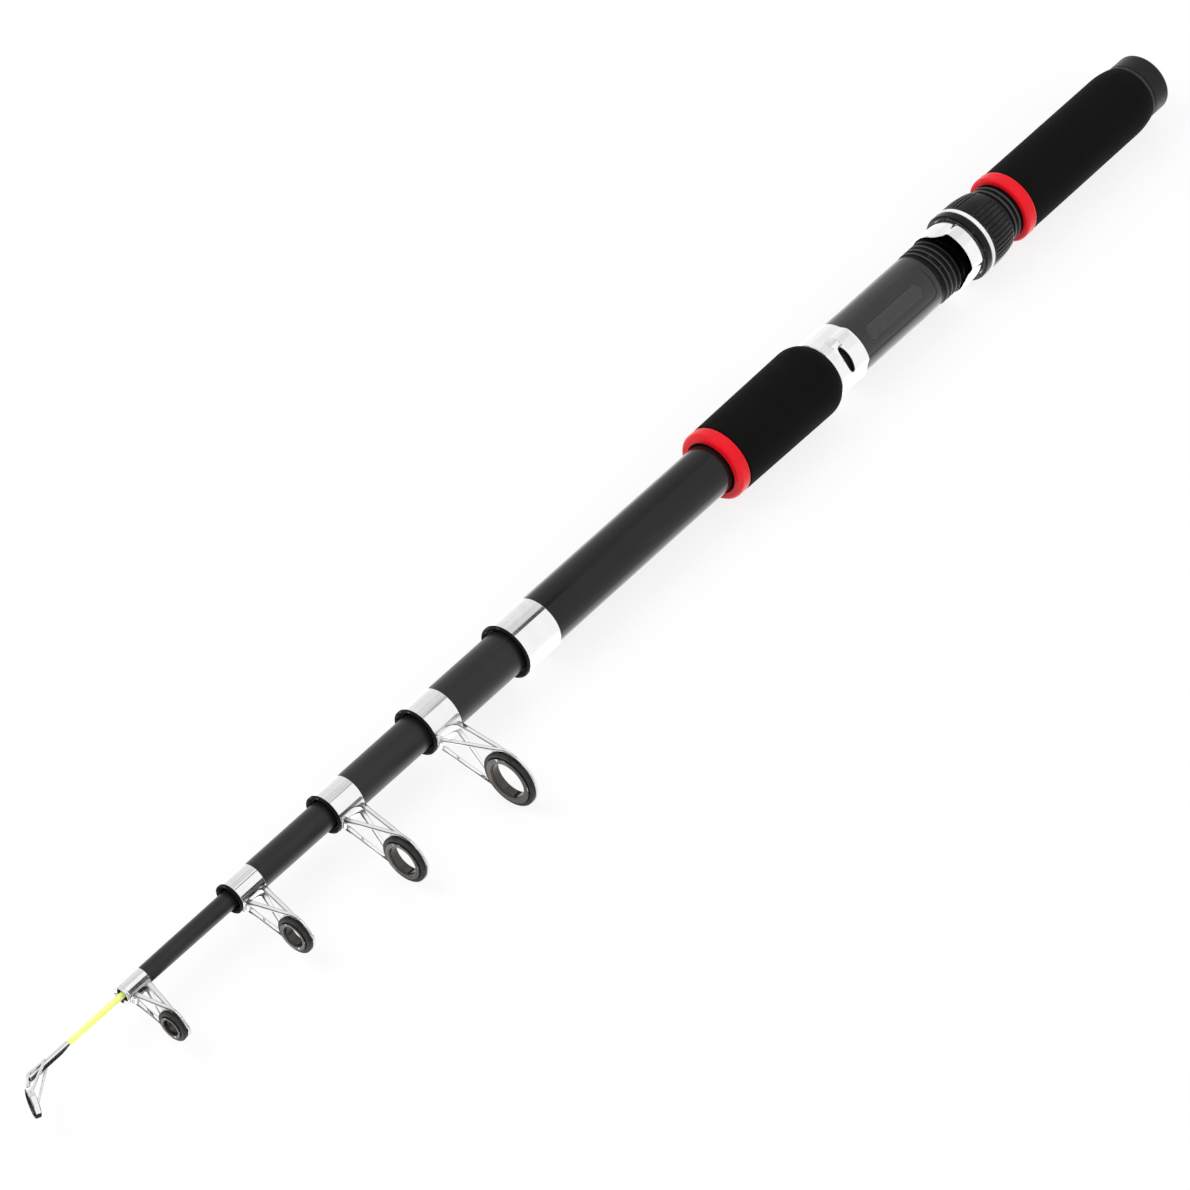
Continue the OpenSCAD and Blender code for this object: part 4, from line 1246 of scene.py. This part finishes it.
# %% [markdown]
# Line guides.
# A guide is stamped from sheet metal: a saddle on the sleeve, four strips that lean together, and a hoop. A
# black shock ring with a flange sits in the hoop and carries the smooth liner that the line runs through.
# The strips are swept with a rounded section along their own middle lines, and the hoop and rings come from
# the lathe.

# %% Sweeping a strip or a wire


def swept(path, across, wide, thick, corner=0.3):
    """A strip with rounded edges along a path, with one direction across it and a width for each point."""
    points = []
    count = len(path)
    for i in range(count):
        way = (path[min(i + 1, count - 1)] - path[max(i - 1, 0)]).normalized()
        side = (across - way * across.dot(way)).normalized()
        up = way.cross(side)
        w, t = wide[i] / 2, thick / 2
        c = min(corner, 0.9 * t, 0.9 * w)
        d = c * 0.3
        m = 0.6 * (w - c)
        upper = [(w, t - c), (w - d, t - d), (w - c, t), (m, t)]
        upper += [(-u, v) for u, v in reversed(upper)]
        section = upper + [(-u, -v) for u, v in upper]
        points += [tuple(path[i] + side * u + up * v) for u, v in section]
    return points, skinned(count, len(section), False)


def part_turned(outline, half, steps=20):
    """An outline turned over a half angle to each side of straight up, with flat ends."""
    points = []
    for s in range(steps + 1):
        a = math.radians(half) * (2 * s / steps - 1)
        points += [around(x, r, a) for x, r in outline]
    return points, skinned(steps + 1, len(outline), False)


print("sweeps ready")

# %% Guide frames
GUIDE_TURN = 95
# Ring height, ring outside diameter, bore and distance of the ring behind the mouth, for each guide
GUIDE = {
    2: (36.9, 22.2, 14.0, 7.6),
    3: (32.5, 18.5, 11.2, 5.6),
    4: (26.0, 14.5, 8.0, 5.0),
    5: (20.6, 11.9, 6.2, 3.5),
}
STRIP_W = 1.7
SHEET = 0.9
FOOT_HALF = 1.8
LIP_T = 1.2
HOOP_T = 1.2
SADDLE_T = 0.8
SADDLE_INSET = 0.4
SADDLE_HALF = 32
FOOT_INSET = 1.7


def ring_station(k):
    """Station of the front face of a guide's hoop."""
    return reach(f"ferrule_{k}")[1] + LIP_T - GUIDE[k][3]


def leg(k, foot_x, side):
    """One strip from the saddle to the side of the hoop, ending along the hoop."""
    height, ring_od = GUIDE[k][:2]
    foot = Vector((foot_x, FOOT_HALF * side, reach(f"ferrule_{k}")[2] + 0.4))
    hoop_mid = Vector((ring_station(k) - HOOP_T / 2, 0, height))
    touch_r = ring_od / 2 + 0.1 + SHEET / 2
    rise = height - foot.z
    far = math.hypot(rise, FOOT_HALF)
    lean = math.asin(touch_r / far) - math.atan2(FOOT_HALF, rise)
    length = math.sqrt(far * far - touch_r * touch_r)
    top_y = side * (FOOT_HALF + length * math.sin(lean))
    top = Vector((hoop_mid.x, top_y, foot.z + length * math.cos(lean)))
    path = [foot.lerp(top, t / 12) for t in range(12)]
    wide = [STRIP_W * (1 + 0.25 * (1 - min(1, t / 3))) for t in range(10)] + [STRIP_W * 0.92, STRIP_W * 0.82]
    begin = math.atan2(top.z - height, side * top.y)
    for t in range(9):
        a = begin + math.radians(7) * t
        r = touch_r - 0.75 * smooth(t, 0, 7)
        path.append(hoop_mid + Vector((0, side * r * math.cos(a), r * math.sin(a))))
        wide.append(1.25 - 0.02 * t)
    return swept(path, Vector((1, 0, 0)), wide, SHEET)


def guide_frame(k):
    """Saddle, rolled foot, hoop and four strips of one guide."""
    height, ring_od = GUIDE[k][:2]
    back, front, sleeve_r = reach(f"ferrule_{k}")
    ring_x = ring_station(k)
    low, high = sleeve_r + FIT, sleeve_r + SADDLE_T
    rear, fore = back + SADDLE_INSET, front - SADDLE_INSET
    saddle = part_turned(eased([(rear, low), (rear, high), (fore, high), (fore, low)], 0.3), SADDLE_HALF)
    roll = eased([(-FOOT_HALF, 0, 0), (-FOOT_HALF, 1.0, 0.3), (FOOT_HALF, 1.0, 0.3), (FOOT_HALF, 0, 0)], 0.3)
    crosswise = Matrix.Translation((front - 1.3, 0, high)) @ Matrix.Rotation(math.radians(90), 4, "Z")
    hoop_back = ring_x - HOOP_T
    low, high = ring_od / 2 - 0.9, ring_od / 2 + 0.3
    hoop = turned(eased([(hoop_back, low), (hoop_back, high), (ring_x, high), (ring_x, low)], 0.35), 96)
    raised_hoop = moved(hoop, Matrix.Translation((0, 0, height)))
    legs = [leg(k, x, side) for x in (back + FOOT_INSET, front - FOOT_INSET) for side in (-1, 1)]
    return joined(saddle, moved(turned(roll, 32), crosswise), raised_hoop, *legs)


for k in GUIDE:
    shape = moved(guide_frame(k), facing(GUIDE_TURN))
    piece(f"guide_{k}_frame", shape, f"section_{k}", f"guide_frame_{k}", frame_chrome, 45)
print("guide frames", len(GUIDE))

# %% [markdown]
# Rings of the guides.
# The hoop holds a black shock ring, and that holds a polished liner with a rounded hole for the line. Both
# are plain turned rings, so the lathe makes them, and a matrix lifts and turns them to the hoop.

# %% Shock rings and liners
SHOCK_WALL = 1.7
SHOCK_BACK = 1.67
SHOCK_FRONT = 1.63
LINER_HALF = 2.1
for k, (height, ring_od, bore, _) in GUIDE.items():
    ring_x = ring_station(k)
    place = facing(GUIDE_TURN) @ Matrix.Translation((0, 0, height))
    out_r, in_r = ring_od / 2, ring_od / 2 - SHOCK_WALL
    neck = out_r - 0.93
    back, step, front = ring_x - SHOCK_BACK, ring_x + FIT, ring_x + SHOCK_FRONT
    outline = eased([(back, in_r, 0.1), (back, neck, 0.35), (step, neck, 0.05), (step, out_r, 0.55),
        (front, out_r, 0.6), (front, in_r + 0.25, 0.3), (ring_x + 1.3, in_r, 0.1)], 0.1, 6)
    piece(f"guide_{k}_shock_ring", moved(turned(outline, 96), place), f"section_{k}", f"shock_ring_{k}",
        shock_black)
    liner_r = in_r - FIT
    full = min(liner_r - bore / 2, 1.6) / 2
    back, front = ring_x - LINER_HALF, ring_x + LINER_HALF
    outline = eased([(back, bore / 2, full), (back, liner_r, 0.15), (front, liner_r, 0.25),
        (front, bore / 2, full)], 0.2, 8)
    piece(f"guide_{k}_liner", moved(turned(outline, 96), place), f"section_{k}", f"guide_liner_{k}",
        liner_ceramic)
print("rings made")

# %% [markdown]
# Tip.
# The tip is a solid painted rod. Its ring is soldered from wire: on each side two braces run from a short
# tube to a small hoop that leans forward and holds a liner of its own. A smooth curve through a few points
# bends the wires as pliers would.

# %% Tip rod and tube
TIP_R = 1.05
back, front, _ = reach("tip_rod")
tube_back, tube_front, tube_r = reach("tip_top_tube")
outline = eased([(back, 0, 0), (back, 2.43, 0.3), (back + JAM_CONE, 2.25, 0), (tube_back, TIP_R, 0),
    (front, TIP_R, 0.2), (front, 0, 0)], 0)
piece("tip_rod_yellow", turned(outline, 64), "tip", "tip_rod", tip_yellow)
sleeve("tip_tube", "tip", "tip_top_tube", TIP_R + FIT, 0.1, 64)
print("tip rod made")

# %% Bend a wire
WIRE = 1.0


def curve_through(points, steps=8):
    """A smooth path through points."""
    out = []
    for i in range(len(points) - 1):
        a = points[max(i - 1, 0)]
        b, c = points[i], points[i + 1]
        d = points[min(i + 2, len(points) - 1)]
        for k in range(steps):
            t = k / steps
            out.append(0.5 * ((2 * b) + (c - a) * t + (2 * a - 5 * b + 4 * c - d) * t * t
                + (3 * b - a - 3 * c + d) * t ** 3))
    return out + [points[-1]]


def brace(points):
    """A round wire through points."""
    path = curve_through(points)
    return swept(path, Vector((0.3, 0.1, 1)), [WIRE] * len(path), WIRE, 0.45)


print("wire ready")

# %% Tip ring
TIP_TURN = 85
TIP_LEAN = math.radians(26)
RING_UP = 9.2
WIRE_RING_R = 4.95
ring_foot = tube_front + 2.3
tip_place = facing(TIP_TURN) @ Matrix.Translation((ring_foot, 0, 0)) @ Matrix.Rotation(TIP_LEAN, 4, "Y")
tip_place = tip_place @ Matrix.Translation((0, 0, RING_UP))
hoop = turned(eased([(-1, 4.4), (-1, 5.2), (1, 5.2), (1, 4.4)], 0.3), 64)


def tip_point(across, up):
    """A point beside the tip ring's centre, before the tip's turn."""
    far = RING_UP + up
    return Vector((ring_foot + far * math.sin(TIP_LEAN), across, far * math.cos(TIP_LEAN)))


wires = []
for side in (-1, 1):
    y = side * (tube_r + 0.53)
    heel = Vector((tube_front - 8, y, 0))
    wires.append(brace([heel, tip_point(side * WIRE_RING_R, 0)]))
    elbow = Vector((tube_front, y, 0))
    low_end = tip_point(side * WIRE_RING_R * 0.7, -WIRE_RING_R * 0.7)
    wires.append(brace([heel, heel.lerp(elbow, 0.5), elbow, low_end]))
shape = joined(moved(hoop, tip_place), moved(joined(*wires), facing(TIP_TURN)))
piece("tip_ring_frame", shape, "tip", "tip_top_frame", chrome, 50)
outline = eased([(-1.2, 3.1, 0.6), (-1.2, 4.37, 0.2), (1.2, 4.37, 0.2), (1.2, 3.1, 0.6)], 0.2, 6)
liner = moved(turned(outline, 64), tip_place)
piece("tip_ring_liner", liner, "tip", "tip_top_liner", liner_ceramic)
print("tip ring made")
